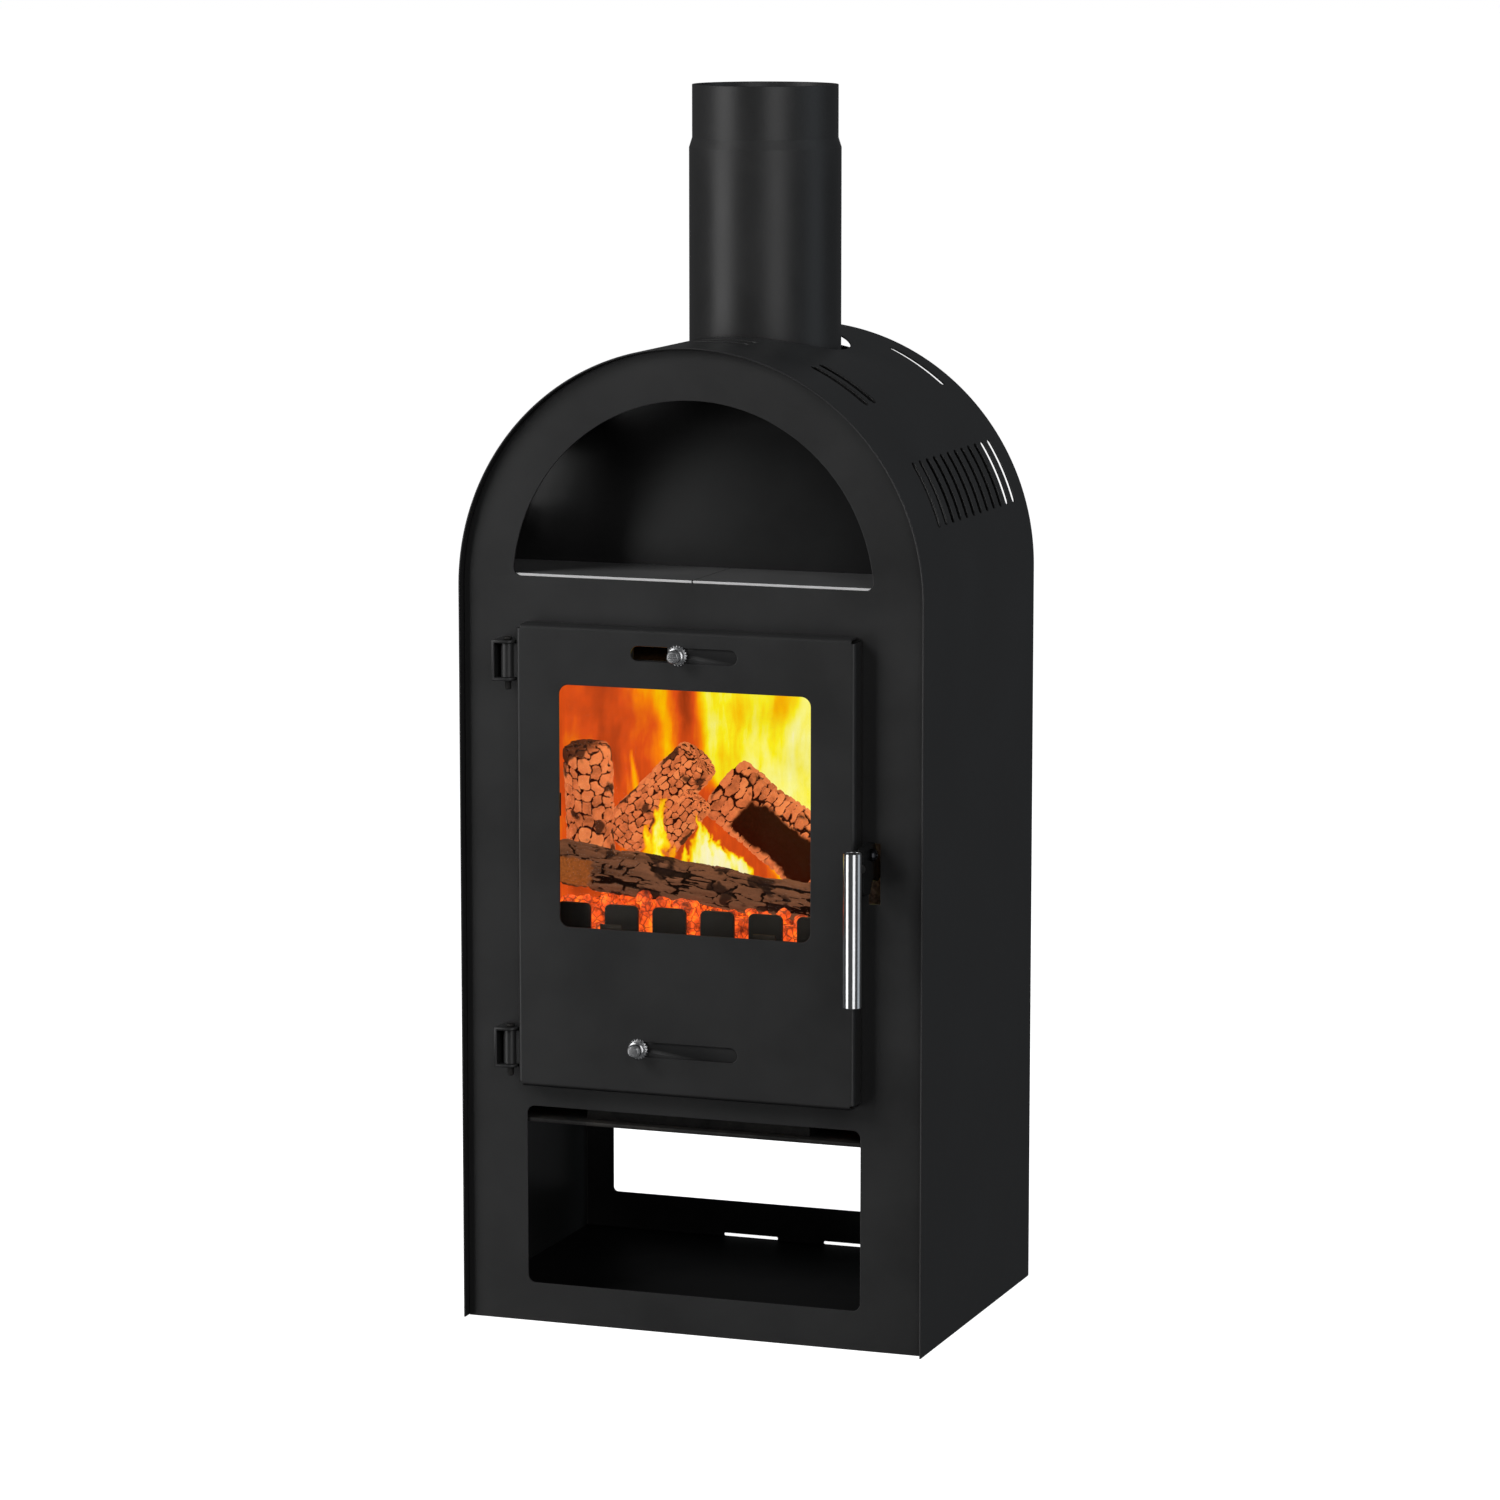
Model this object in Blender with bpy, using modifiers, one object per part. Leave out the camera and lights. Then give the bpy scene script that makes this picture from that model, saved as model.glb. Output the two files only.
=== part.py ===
"""Free-standing wood burning stove in an arched sheet-steel case, with a hinged glass door, two sliding
air controls, a latch handle, a warming niche above the fire and a log store below it.

Metres. +X is the stove's right as seen from the front, +Y runs to the back and +Z up. The origin is on
the floor, at the middle of the whole stove's footprint, door handle included.
"""

from math import asin, cos, pi, radians, sin, sqrt

import bmesh
import bpy
from mathutils import Matrix, Vector

# ---------------------------------------------------------------- driving dimensions
GAP = 0.0003            # clearance between pieces that touch

CASE_WIDTH = 0.494
CASE_DEPTH = 0.364
CASE_SHEET = 0.002
ARCH_CENTRE_Z = 0.756   # where the case's straight sides end and its half-round top begins
HANDLE_REACH = 0.0643   # how far the handle stands in front of the case
PANEL_SETBACK = 0.0103  # the front panel's face, behind the case's front edge
PANEL_SHEET = 0.002
REAR_SETBACK = 0.339    # the rear panel's inner face, behind the case's front edge

NICHE_RADIUS = 0.1915
NICHE_CENTRE_Z = 0.758
NICHE_FLOOR_Z = 0.7682  # lower edge of the niche's opening
NICHE_DEPTH = 0.1227    # the niche's back sheet, behind the case's front edge
SHELF_Z = 0.7705        # top of the niche's two shelf plates
SHELF_SHEET = 0.003
SHELF_SLIT = 0.0012

STORE_HALF_WIDTH = 0.179
STORE_BOTTOM_Z = 0.0404
STORE_TOP_Z = 0.225
REAR_WINDOW = (0.214, 0.060, 0.198)  # half width, bottom and top of the opening in the rear panel
REAR_ARCH_RADIUS = 0.229
FLOOR_PLATE_Z = 0.021
FLOOR_SLOTS_LEFT = (-0.087, 0.026)   # left ends of the slots in the rear panel above the floor plate
FLOOR_SLOT_WIDTH = 0.061
FLOOR_SLOT_TOP_Z = 0.0245
FIRE_OPENING = (0.160, 0.270, 0.703)  # half width, bottom and top of the opening behind the door

BOX_HALF_WIDTH = 0.205
BOX_BOTTOM_Z = 0.208
BOX_TOP_Z = 0.749
BOX_BACK = 0.315
BOX_PLATE = 0.004
GRATE_Z = 0.4023        # top of the grate
GRATE_SHEET = 0.012
BRICK = 0.0255
BRICK_TOP_Z = 0.640

FLUE_SETBACK = 0.2265
FLUE_RADIUS = 0.0777
SPIGOT_RADIUS = 0.07455
FLUE_WALL = 0.0015
FLUE_SHOULDER_Z = 1.190
SPIGOT_Z = 1.200
STOVE_TOP_Z = 1.2537
FLUE_HOLE_RADIUS = 0.087

DOOR_HALF_WIDTH = 0.180
DOOR_BOTTOM_Z = 0.250
DOOR_TOP_Z = 0.7225
DOOR_FACE = -0.012      # the door's front face, behind the case's front edge (negative is in front)
DOOR_TRAY = 0.0206
DOOR_SHEET = 0.002
DOOR_BEND = 0.004
WINDOW = (0.1335, 0.417, 0.663)      # half width, bottom and top of the door's window

AIR_SLOT_HALF_WIDTH = 0.0563
AIR_SLOT_HEIGHT = 0.015
UPPER_SLOT_Z = 0.698
LOWER_SLOT_Z = 0.297
UPPER_KNOB_X = -0.006
LOWER_KNOB_X = -0.049
KNOB_EDGE = 0.012       # the knob's stud, from the slide plate's left end
UPPER_PLATE_WIDTH = 0.119
LOWER_PLATE_WIDTH = 0.120

HINGE_X = -0.191
HINGE_SETBACK = -0.005
HINGE_HEIGHT = 0.041
HINGE_BOTTOMS = {"upper": 0.664, "lower": 0.268}
BRACKET_SHEET = 0.003

HANDLE_X = 0.1925
HANDLE_SETBACK = -0.055
HANDLE_RADIUS = 0.0093
HANDLE_BOTTOM_Z = 0.364
HANDLE_TOP_Z = 0.518
LEVER_SHEET = 0.006
LEVER_FRONT = -0.030
PIVOT_SETBACK = -0.0045
PIVOT_Z = 0.508
LATCH_SLOT = (0.187, 0.199, 0.456, 0.517)  # left, right, bottom, top
# the hook's corners from above its nose round to the lever's lower edge: setback, Z
HOOK = (
    (0.016, 0.504),
    (0.022, 0.496),
    (0.022, 0.482),
    (0.014, 0.478),
    (0.008, 0.486),
    (-0.002, 0.482),
    (-0.010, 0.470),
)

VENT_COUNT = 12
VENT_FIRST = 0.0786
VENT_PITCH = 0.0224
VENT_WIDTH = 0.009
VENT_ANGLE = 65.5       # middle of a vent, in degrees from the top of the arch
TOP_SLOT_ANGLE = 32.2
SLOT_SPAN = 16.3        # how far a slot runs round the arch, in degrees
FRONT_TOP_SLOTS = (0.082, 0.106)
REAR_TOP_SLOT = 0.327
TOP_SLOT_WIDTH = 0.014
REAR_TOP_SLOT_WIDTH = 0.010

ARCH_STEPS = 48
ROUND_STEPS = 32

FRONT_Y = HANDLE_REACH - (CASE_DEPTH + HANDLE_REACH) / 2

# linear colour, roughness, metallic
PAINTS = {
    "black_paint": ((0.024, 0.024, 0.025), 0.55, 0.0),
    "dark_steel": ((0.03, 0.03, 0.03), 0.6, 0.4),
    "bright_steel": ((0.55, 0.55, 0.56), 0.2, 1.0),
    "cast_iron": ((0.04, 0.038, 0.036), 0.75, 0.6),
    "fire_brick": ((0.42, 0.34, 0.24), 0.9, 0.0),
    "stove_glass": ((0.9, 0.85, 0.8), 0.05, 0.0),
    "rope_fibre": ((0.12, 0.12, 0.12), 0.95, 0.0),
    "charred_wood": ((0.09, 0.05, 0.03), 0.9, 0.0),
    "embers": ((0.8, 0.18, 0.03), 0.9, 0.0),
}


def y_at(setback):
    """World Y of a depth measured back from the case's front edge."""
    return FRONT_Y + setback


# ---------------------------------------------------------------- scene helpers
def start_scene():
    for thing in list(bpy.data.objects):
        bpy.data.objects.remove(thing, do_unlink=True)
    stove = bpy.data.collections.new("wood_burning_stove")
    cutters = bpy.data.collections.new("cutters")
    bpy.context.scene.collection.children.link(stove)
    bpy.context.scene.collection.children.link(cutters)
    cutters.hide_render = True
    return stove, cutters


STOVE, CUTTERS = start_scene()


def make_paint(name):
    colour, roughness, metallic = PAINTS[name]
    paint = bpy.data.materials.new(name)
    paint.use_nodes = True
    shader = paint.node_tree.nodes["Principled BSDF"]
    shader.inputs["Base Color"].default_value = (*colour, 1.0)
    shader.inputs["Roughness"].default_value = roughness
    shader.inputs["Metallic"].default_value = metallic
    return paint


def own_paint(thing, paint):
    """Gives the piece a material of its own, a copy of the named paint."""
    finish = make_paint(paint)
    finish.name = f"{thing.name}_{paint}"
    thing.data.materials.clear()
    thing.data.materials.append(finish)


def finish_mesh(thing):
    """Welds a converted curve's caps and turns its faces outward."""
    shape = bmesh.new()
    shape.from_mesh(thing.data)
    bmesh.ops.remove_doubles(shape, verts=shape.verts, dist=1e-6)
    bmesh.ops.recalc_face_normals(shape, faces=shape.faces)
    shape.to_mesh(thing.data)
    shape.free()


def place_in(thing, paint):
    """A piece joins the stove with its paint; without one it is a cutter."""
    if paint:
        STOVE.objects.link(thing)
        own_paint(thing, paint)
    else:
        CUTTERS.objects.link(thing)
        thing.hide_render = True
        thing.display_type = "WIRE"


TURNS = {"XY": (0, 0, 0), "XZ": (pi / 2, 0, 0), "YZ": (pi / 2, 0, pi / 2)}


def extruded(name, loops, length, plane, centre, paint=None, turn=None):
    """A solid of the flat outline loops[0], less the holes in loops[1:], run for length through centre.

    plane names the world axes that the outline's two coordinates follow.
    """
    outline = bpy.data.curves.new(name, "CURVE")
    outline.dimensions = "2D"
    outline.fill_mode = "BOTH"
    outline.extrude = length / 2
    for loop in loops:
        spline = outline.splines.new("POLY")
        spline.points.add(len(loop) - 1)
        for point, (across, up) in zip(spline.points, loop):
            point.co = (across, up, 0, 1)
        spline.use_cyclic_u = True
    guide = bpy.data.objects.new(name + "_outline", outline)
    bpy.context.scene.collection.objects.link(guide)
    guide.location = centre
    guide.rotation_euler = turn or TURNS[plane]
    bpy.context.view_layer.update()
    graph = bpy.context.evaluated_depsgraph_get()
    mesh = bpy.data.meshes.new_from_object(guide.evaluated_get(graph))
    solid = bpy.data.objects.new(name, mesh)
    solid.matrix_world = guide.matrix_world.copy()
    bpy.data.objects.remove(guide, do_unlink=True)
    finish_mesh(solid)
    place_in(solid, paint)
    return solid


def block(name, low, high, paint=None):
    """A box between two corners given as (x, setback, z)."""
    centre = [(a + b) / 2 for a, b in zip(low, high)]
    size = [b - a for a, b in zip(low, high)]
    shape = bmesh.new()
    bmesh.ops.create_cube(shape, size=1.0)
    bmesh.ops.scale(shape, vec=size, verts=shape.verts)
    mesh = bpy.data.meshes.new(name)
    shape.to_mesh(mesh)
    shape.free()
    solid = bpy.data.objects.new(name, mesh)
    solid.location = (centre[0], y_at(centre[1]), centre[2])
    place_in(solid, paint)
    return solid


AXIS_TURNS = {"up": (0, 0, 0), "front": (pi / 2, 0, 0), "right": (0, pi / 2, 0)}


def cylinder(name, radius, start, end, paint=None, steps=ROUND_STEPS):
    """A plain round bar between two points given as (x, setback, z)."""
    first = Vector((start[0], y_at(start[1]), start[2]))
    last = Vector((end[0], y_at(end[1]), end[2]))
    shape = bmesh.new()
    length = (last - first).length
    bmesh.ops.create_cone(shape, cap_ends=True, segments=steps, radius1=radius, radius2=radius, depth=length)
    mesh = bpy.data.meshes.new(name)
    shape.to_mesh(mesh)
    shape.free()
    solid = bpy.data.objects.new(name, mesh)
    solid.location = (first + last) / 2
    solid.rotation_euler = Vector((0, 0, 1)).rotation_difference(last - first).to_euler()
    mesh.shade_smooth()
    mesh.set_sharp_from_angle(angle=radians(40))
    place_in(solid, paint)
    return solid


def turned(name, profile, place, axis, paint=None, steps=ROUND_STEPS, ring=False):
    """A turned piece: (radius, height) points run down its outer side, top to bottom.

    ring closes the profile, for a piece with a bore. place is (x, setback, z); axis is where height points.
    """
    mesh = bpy.data.meshes.new(name)
    shape = bmesh.new()
    points = [shape.verts.new((radius, 0, height)) for radius, height in profile]
    for first, second in zip(points, points[1:]):
        shape.edges.new((first, second))
    if ring:
        shape.edges.new((points[-1], points[0]))
    shape.to_mesh(mesh)
    shape.free()
    solid = bpy.data.objects.new(name, mesh)
    solid.location = (place[0], y_at(place[1]), place[2])
    solid.rotation_euler = AXIS_TURNS[axis]
    screw = solid.modifiers.new("turn", "SCREW")
    screw.steps = steps
    screw.render_steps = steps
    screw.use_merge_vertices = True
    screw.merge_threshold = 1e-5
    screw.use_smooth_shade = True
    place_in(solid, paint)
    return solid


def combine(solid, other, operation="DIFFERENCE"):
    """Cuts, joins or intersects with another solid, which stays as a cutter."""
    cut = solid.modifiers.new(operation.lower(), "BOOLEAN")
    cut.operation = operation
    cut.solver = "EXACT"
    cut.object = other
    return solid


# ---------------------------------------------------------------- outlines
def arc(centre, radius, start, end, steps):
    """Points on an arc, angles in degrees, both ends included."""
    angles = [radians(start + (end - start) * i / steps) for i in range(steps + 1)]
    return [(centre[0] + radius * cos(a), centre[1] + radius * sin(a)) for a in angles]


def rounded_box(left, right, bottom, top, radius, steps=3):
    points = []
    corners = (
        ((right - radius, top - radius), 0),
        ((left + radius, top - radius), 90),
        ((left + radius, bottom + radius), 180),
        ((right - radius, bottom + radius), 270),
    )
    for centre, start in corners:
        points += arc(centre, radius, start, start + 90, steps)
    return points


def plain_box(left, right, bottom, top):
    return [(right, top), (left, top), (left, bottom), (right, bottom)]


def stadium(half_length, half_width, middle=(0.0, 0.0), steps=4):
    """A slot with round ends that runs along the outline's first coordinate."""
    straight = half_length - half_width
    right = arc((middle[0] + straight, middle[1]), half_width, -90, 90, steps)
    left = arc((middle[0] - straight, middle[1]), half_width, 90, 270, steps)
    return right + left


def arched(half_width, bottom, centre_z=ARCH_CENTRE_Z, steps=ARCH_STEPS):
    """Straight sides from bottom up to centre_z, with a half-round top."""
    top = arc((0, centre_z), half_width, 0, 180, steps)
    return [(half_width, bottom)] + top + [(-half_width, bottom)]


# ---------------------------------------------------------------- case
def make_outer_shell():
    half = CASE_WIDTH / 2
    outside = arched(half, 0)
    inside = arched(half - CASE_SHEET, 0)
    shell = extruded(
        "outer_shell",
        [outside + inside[::-1]],
        CASE_DEPTH,
        "XZ",
        (0, y_at(CASE_DEPTH / 2), 0),
        "black_paint",
    )
    flue_hole = cylinder(
        "flue_hole_cutter",
        FLUE_HOLE_RADIUS,
        (0, FLUE_SETBACK, ARCH_CENTRE_Z + half - 0.05),
        (0, FLUE_SETBACK, ARCH_CENTRE_Z + half + 0.02),
        steps=40,
    )
    combine(shell, flue_hole)
    for number in range(VENT_COUNT):
        setback = VENT_FIRST + number * VENT_PITCH
        for side in (-1, 1):
            combine(shell, arch_slot_cutter(side * VENT_ANGLE, setback, VENT_WIDTH))
    for setback in FRONT_TOP_SLOTS:
        for angle in (-TOP_SLOT_ANGLE, 0, TOP_SLOT_ANGLE):
            combine(shell, arch_slot_cutter(angle, setback, TOP_SLOT_WIDTH))
    for side in (-1, 1):
        combine(shell, arch_slot_cutter(side * TOP_SLOT_ANGLE, REAR_TOP_SLOT, REAR_TOP_SLOT_WIDTH))
    return shell


def arch_slot_cutter(angle, setback, width):
    """A round-ended slot through the arch, centred at angle degrees from its top, along the arch."""
    radius = CASE_WIDTH / 2
    lean = radians(angle)
    half_length = radius * sin(radians(SLOT_SPAN / 2))
    centre = (radius * sin(lean), y_at(setback), ARCH_CENTRE_Z + radius * cos(lean))
    name = f"slot_{round(angle)}_{round(setback * 1000)}_cutter"
    return extruded(name, [stadium(half_length, width / 2)], 0.03, "XY", centre, turn=(0, lean, 0))


def make_front_panel():
    half = CASE_WIDTH / 2 - CASE_SHEET - GAP
    fire_half, fire_bottom, fire_top = FIRE_OPENING
    return extruded(
        "front_panel",
        [
            arched(half, 0),
            niche_outline(),
            rounded_box(-fire_half, fire_half, fire_bottom, fire_top, 0.006),
            rounded_box(-STORE_HALF_WIDTH, STORE_HALF_WIDTH, STORE_BOTTOM_Z, STORE_TOP_Z, 0.008, 4),
            plain_box(*LATCH_SLOT),
        ],
        PANEL_SHEET,
        "XZ",
        (0, y_at(PANEL_SETBACK + PANEL_SHEET / 2), 0),
        "black_paint",
    )


def niche_outline():
    """Most of a half circle, cut level at the niche's floor with small round corners."""
    corner = 0.008
    corner_z = NICHE_FLOOR_Z + corner
    corner_x = sqrt((NICHE_RADIUS - corner) ** 2 - (corner_z - NICHE_CENTRE_Z) ** 2)
    lift = asin((corner_z - NICHE_CENTRE_Z) / (NICHE_RADIUS - corner)) * 180 / pi
    top = arc((0, NICHE_CENTRE_Z), NICHE_RADIUS, lift, 180 - lift, 40)
    left = arc((-corner_x, corner_z), corner, 180 - lift, 270, 4)
    right = arc((corner_x, corner_z), corner, 270, 360 + lift, 4)
    return top + left[1:] + right[:-1]


def make_rear_panel():
    half = CASE_WIDTH / 2 - CASE_SHEET - GAP
    window_half, window_bottom, window_top = REAR_WINDOW
    outline = [(half, 0), (half, ARCH_CENTRE_Z)]
    outline += arc((0, ARCH_CENTRE_Z), REAR_ARCH_RADIUS, 0, 180, 40)
    outline += [(-half, ARCH_CENTRE_Z), (-half, 0)]
    slots = [
        plain_box(left, left + FLOOR_SLOT_WIDTH, FLOOR_PLATE_Z + GAP, FLOOR_SLOT_TOP_Z)
        for left in FLOOR_SLOTS_LEFT
    ]
    return extruded(
        "rear_panel",
        [outline, rounded_box(-window_half, window_half, window_bottom, window_top, 0.005), *slots],
        PANEL_SHEET,
        "XZ",
        (0, y_at(REAR_SETBACK + PANEL_SHEET / 2), 0),
        "black_paint",
    )


def make_floor_plate():
    """The log store's floor: a sheet with both sides folded down and in again, on which the stove stands."""
    half = CASE_WIDTH / 2 - CASE_SHEET - GAP
    sheet = CASE_SHEET
    lip = 0.018
    profile = [
        (-half, 0),
        (-half + lip, 0),
        (-half + lip, sheet),
        (-half + sheet, sheet),
        (-half + sheet, FLOOR_PLATE_Z - sheet),
        (half - sheet, FLOOR_PLATE_Z - sheet),
        (half - sheet, sheet),
        (half - lip, sheet),
        (half - lip, 0),
        (half, 0),
        (half, FLOOR_PLATE_Z),
        (-half, FLOOR_PLATE_Z),
    ]
    front = PANEL_SETBACK + PANEL_SHEET + GAP
    back = REAR_SETBACK - GAP
    extruded("floor_plate", [profile], back - front, "XZ", (0, y_at((front + back) / 2), 0), "black_paint")


def make_niche():
    half = CASE_WIDTH / 2 - CASE_SHEET - GAP
    front = PANEL_SETBACK + PANEL_SHEET + GAP
    back_sheet = 0.002
    extruded(
        "niche_back",
        [arched(half, BOX_TOP_Z + 0.003)],
        back_sheet,
        "XZ",
        (0, y_at(NICHE_DEPTH + back_sheet / 2), 0),
        "black_paint",
    )
    for side, name in ((-1, "niche_shelf_left"), (1, "niche_shelf_right")):
        inner, outer = sorted((side * SHELF_SLIT / 2, side * (half - 0.0005)))
        block(
            name,
            (inner, front, SHELF_Z - SHELF_SHEET),
            (outer, NICHE_DEPTH - GAP, SHELF_Z),
            "dark_steel",
        )


# ---------------------------------------------------------------- firebox
def make_firebox():
    front = PANEL_SETBACK + PANEL_SHEET + GAP
    wide = BOX_HALF_WIDTH
    plate = BOX_PLATE
    low = BOX_BOTTOM_Z + plate + GAP
    high = BOX_TOP_Z - plate - GAP
    inside = wide - plate - GAP
    block("firebox_floor", (-wide, front, BOX_BOTTOM_Z), (wide, BOX_BACK, BOX_BOTTOM_Z + plate), "dark_steel")
    block("firebox_left_wall", (-wide, front, low), (-wide + plate, BOX_BACK, high), "dark_steel")
    block("firebox_right_wall", (wide - plate, front, low), (wide, BOX_BACK, high), "dark_steel")
    block("firebox_back_wall", (-inside, BOX_BACK - plate, low), (inside, BOX_BACK, high), "dark_steel")
    middle = y_at((front + BOX_BACK) / 2)
    roof_half_depth = (BOX_BACK - front) / 2
    flue_y = y_at(FLUE_SETBACK) - middle
    extruded(
        "firebox_roof",
        [
            plain_box(-wide, wide, -roof_half_depth, roof_half_depth),
            arc((0, flue_y), SPIGOT_RADIUS - FLUE_WALL, 0, 350, 35),
        ],
        plate,
        "XY",
        (0, middle, BOX_TOP_Z - plate / 2),
        "dark_steel",
    )


def make_linings():
    inside = BOX_HALF_WIDTH - BOX_PLATE - GAP
    back = BOX_BACK - BOX_PLATE - GAP
    base = GRATE_Z - GRATE_SHEET
    side_front = 0.045
    baffle_front = 0.110
    for side, name in ((-1, "firebrick_left"), (1, "firebrick_right")):
        inner, outer = sorted((side * (inside - BRICK), side * inside))
        block(name, (inner, side_front, base), (outer, back, BRICK_TOP_Z), "fire_brick")
    back_half = inside - BRICK - GAP
    block("firebrick_back", (-back_half, back - BRICK, base), (back_half, back, BRICK_TOP_Z), "fire_brick")
    block(
        "baffle_plate",
        (-inside, baffle_front, BRICK_TOP_Z + GAP),
        (inside, back, BRICK_TOP_Z + BRICK),
        "fire_brick",
    )


def make_grate():
    """The steel hearth plate, the cast grate on it, the log guard at its front and the ash pan below."""
    inside = BOX_HALF_WIDTH - BOX_PLATE - GAP
    front = PANEL_SETBACK + PANEL_SHEET + GAP
    back = BOX_BACK - BOX_PLATE - GAP
    hearth_top = GRATE_Z - GRATE_SHEET - GAP
    hearth_sheet = 0.004
    hole_half = 0.090
    hole_front, hole_back = 0.075, 0.245
    middle = y_at((front + back) / 2)
    extruded(
        "hearth_plate",
        [
            plain_box(-inside, inside, y_at(front) - middle, y_at(back) - middle),
            plain_box(-hole_half, hole_half, y_at(hole_front) - middle, y_at(hole_back) - middle),
        ],
        hearth_sheet,
        "XY",
        (0, middle, hearth_top - hearth_sheet / 2),
        "dark_steel",
    )
    grate_half = 0.110
    grate_front, grate_back = 0.055, 0.265
    bar_count = 9
    bar_pitch = 2 * hole_half / bar_count
    slots = [
        plain_box(
            -hole_half + bar_pitch * (i + 0.28),
            -hole_half + bar_pitch * (i + 0.72),
            y_at(hole_front + 0.008) - middle,
            y_at(hole_back - 0.008) - middle,
        )
        for i in range(bar_count)
    ]
    outline = rounded_box(-grate_half, grate_half, y_at(grate_front) - middle, y_at(grate_back) - middle, 0.012)
    extruded(
        "grate",
        [outline, *slots],
        GRATE_SHEET,
        "XY",
        (0, middle, GRATE_Z - GRATE_SHEET / 2),
        "cast_iron",
    )
    make_log_guard(hearth_top + GAP)
    make_ash_pan()


def make_log_guard(bottom):
    """A comb of round-shouldered tabs behind the window's lower edge, which keeps logs off the glass."""
    tab_width = 0.0363
    tab_pitch = 0.0514
    tab_count = 6
    shoulder = 0.006
    root_z = bottom + 0.018
    top_z = 0.4378
    sheet = 0.003
    edge = -tab_pitch * (tab_count - 1) / 2 - tab_width / 2
    outline = [(-edge, bottom), (edge, bottom)]
    for number in range(tab_count):
        left = edge + number * tab_pitch
        right = left + tab_width
        if number:
            outline.append((left, root_z))
        outline += arc((left + shoulder, top_z - shoulder), shoulder, 180, 90, 3)
        outline += arc((right - shoulder, top_z - shoulder), shoulder, 90, 0, 3)
        if number < tab_count - 1:
            outline.append((right, root_z))
    setback = PANEL_SETBACK + PANEL_SHEET + 0.001 + sheet / 2
    extruded("log_guard", [outline], sheet, "XZ", (0, y_at(setback), 0), "dark_steel")


def make_ash_pan():
    half = 0.120
    front, back = 0.026, 0.270
    bottom = BOX_BOTTOM_Z + BOX_PLATE + GAP
    top = bottom + 0.060
    wall = 0.0015
    pan = block("ash_pan", (-half, front, bottom), (half, back, top), "dark_steel")
    hollow = block(
        "ash_pan_cutter",
        (-half + wall, front + wall, bottom + wall),
        (half - wall, back - wall, top + 0.01),
    )
    combine(pan, hollow)


def make_flue():
    base = BOX_TOP_Z + GAP
    flange = 0.003
    flange_radius = 0.092
    collar_height = 0.040
    inner = SPIGOT_RADIUS - FLUE_WALL
    collar_outer = FLUE_RADIUS - FLUE_WALL - GAP
    place = (0, FLUE_SETBACK, 0)
    collar = [
        (collar_outer, base + collar_height),
        (collar_outer, base + flange),
        (flange_radius, base + flange),
        (flange_radius, base),
        (inner, base),
        (inner, base + collar_height),
    ]
    turned("flue_collar", collar, place, "up", "dark_steel", ring=True)
    pipe = [
        (SPIGOT_RADIUS, STOVE_TOP_Z),
        (SPIGOT_RADIUS, SPIGOT_Z),
        (FLUE_RADIUS, FLUE_SHOULDER_Z),
        (FLUE_RADIUS, base + flange + GAP),
        (FLUE_RADIUS - FLUE_WALL, base + flange + GAP),
        (FLUE_RADIUS - FLUE_WALL, FLUE_SHOULDER_Z),
        (SPIGOT_RADIUS - FLUE_WALL, SPIGOT_Z),
        (SPIGOT_RADIUS - FLUE_WALL, STOVE_TOP_Z),
    ]
    turned("flue_pipe", pipe, place, "up", "black_paint", ring=True, steps=40)


# ---------------------------------------------------------------- fuel
LOGS = {
    "log_front": ((-0.165, 0.060, 0.470), (0.158, 0.064, 0.438), 0.0245),
    "log_centre": ((-0.136, 0.166, 0.481), (-0.051, 0.166, 0.5665), 0.0275),
    "log_short": ((-0.068, 0.098, 0.485), (-0.0265, 0.098, 0.535), 0.0185),
    "log_right": ((-0.047, 0.2325, 0.529), (0.062, 0.2325, 0.446), 0.038),
    "log_left": ((-0.1485, 0.112, 0.470), (-0.1485, 0.100, 0.585), 0.026),
}


def make_fuel():
    for name, (start, end, radius) in LOGS.items():
        cylinder(name, radius, start, end, "charred_wood", steps=10)
    outline = rounded_box(-0.150, 0.150, -0.115, 0.115, 0.03)
    bed = 0.009
    extruded("ember_bed", [outline], bed, "XY", (0, y_at(0.155), GRATE_Z + GAP + bed / 2), "embers")


# ---------------------------------------------------------------- door
def hinge_axis():
    """The empty that every door piece hangs on, at the hinge pins' axis."""
    axis = bpy.data.objects.new("door_hinge_axis", None)
    axis.location = (HINGE_X, y_at(HINGE_SETBACK), (DOOR_BOTTOM_Z + DOOR_TOP_Z) / 2)
    STOVE.objects.link(axis)
    return axis


def hang_on(parent, pieces):
    for piece in pieces:
        piece.parent = parent
        piece.matrix_parent_inverse = Matrix.Translation(-parent.location)


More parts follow.
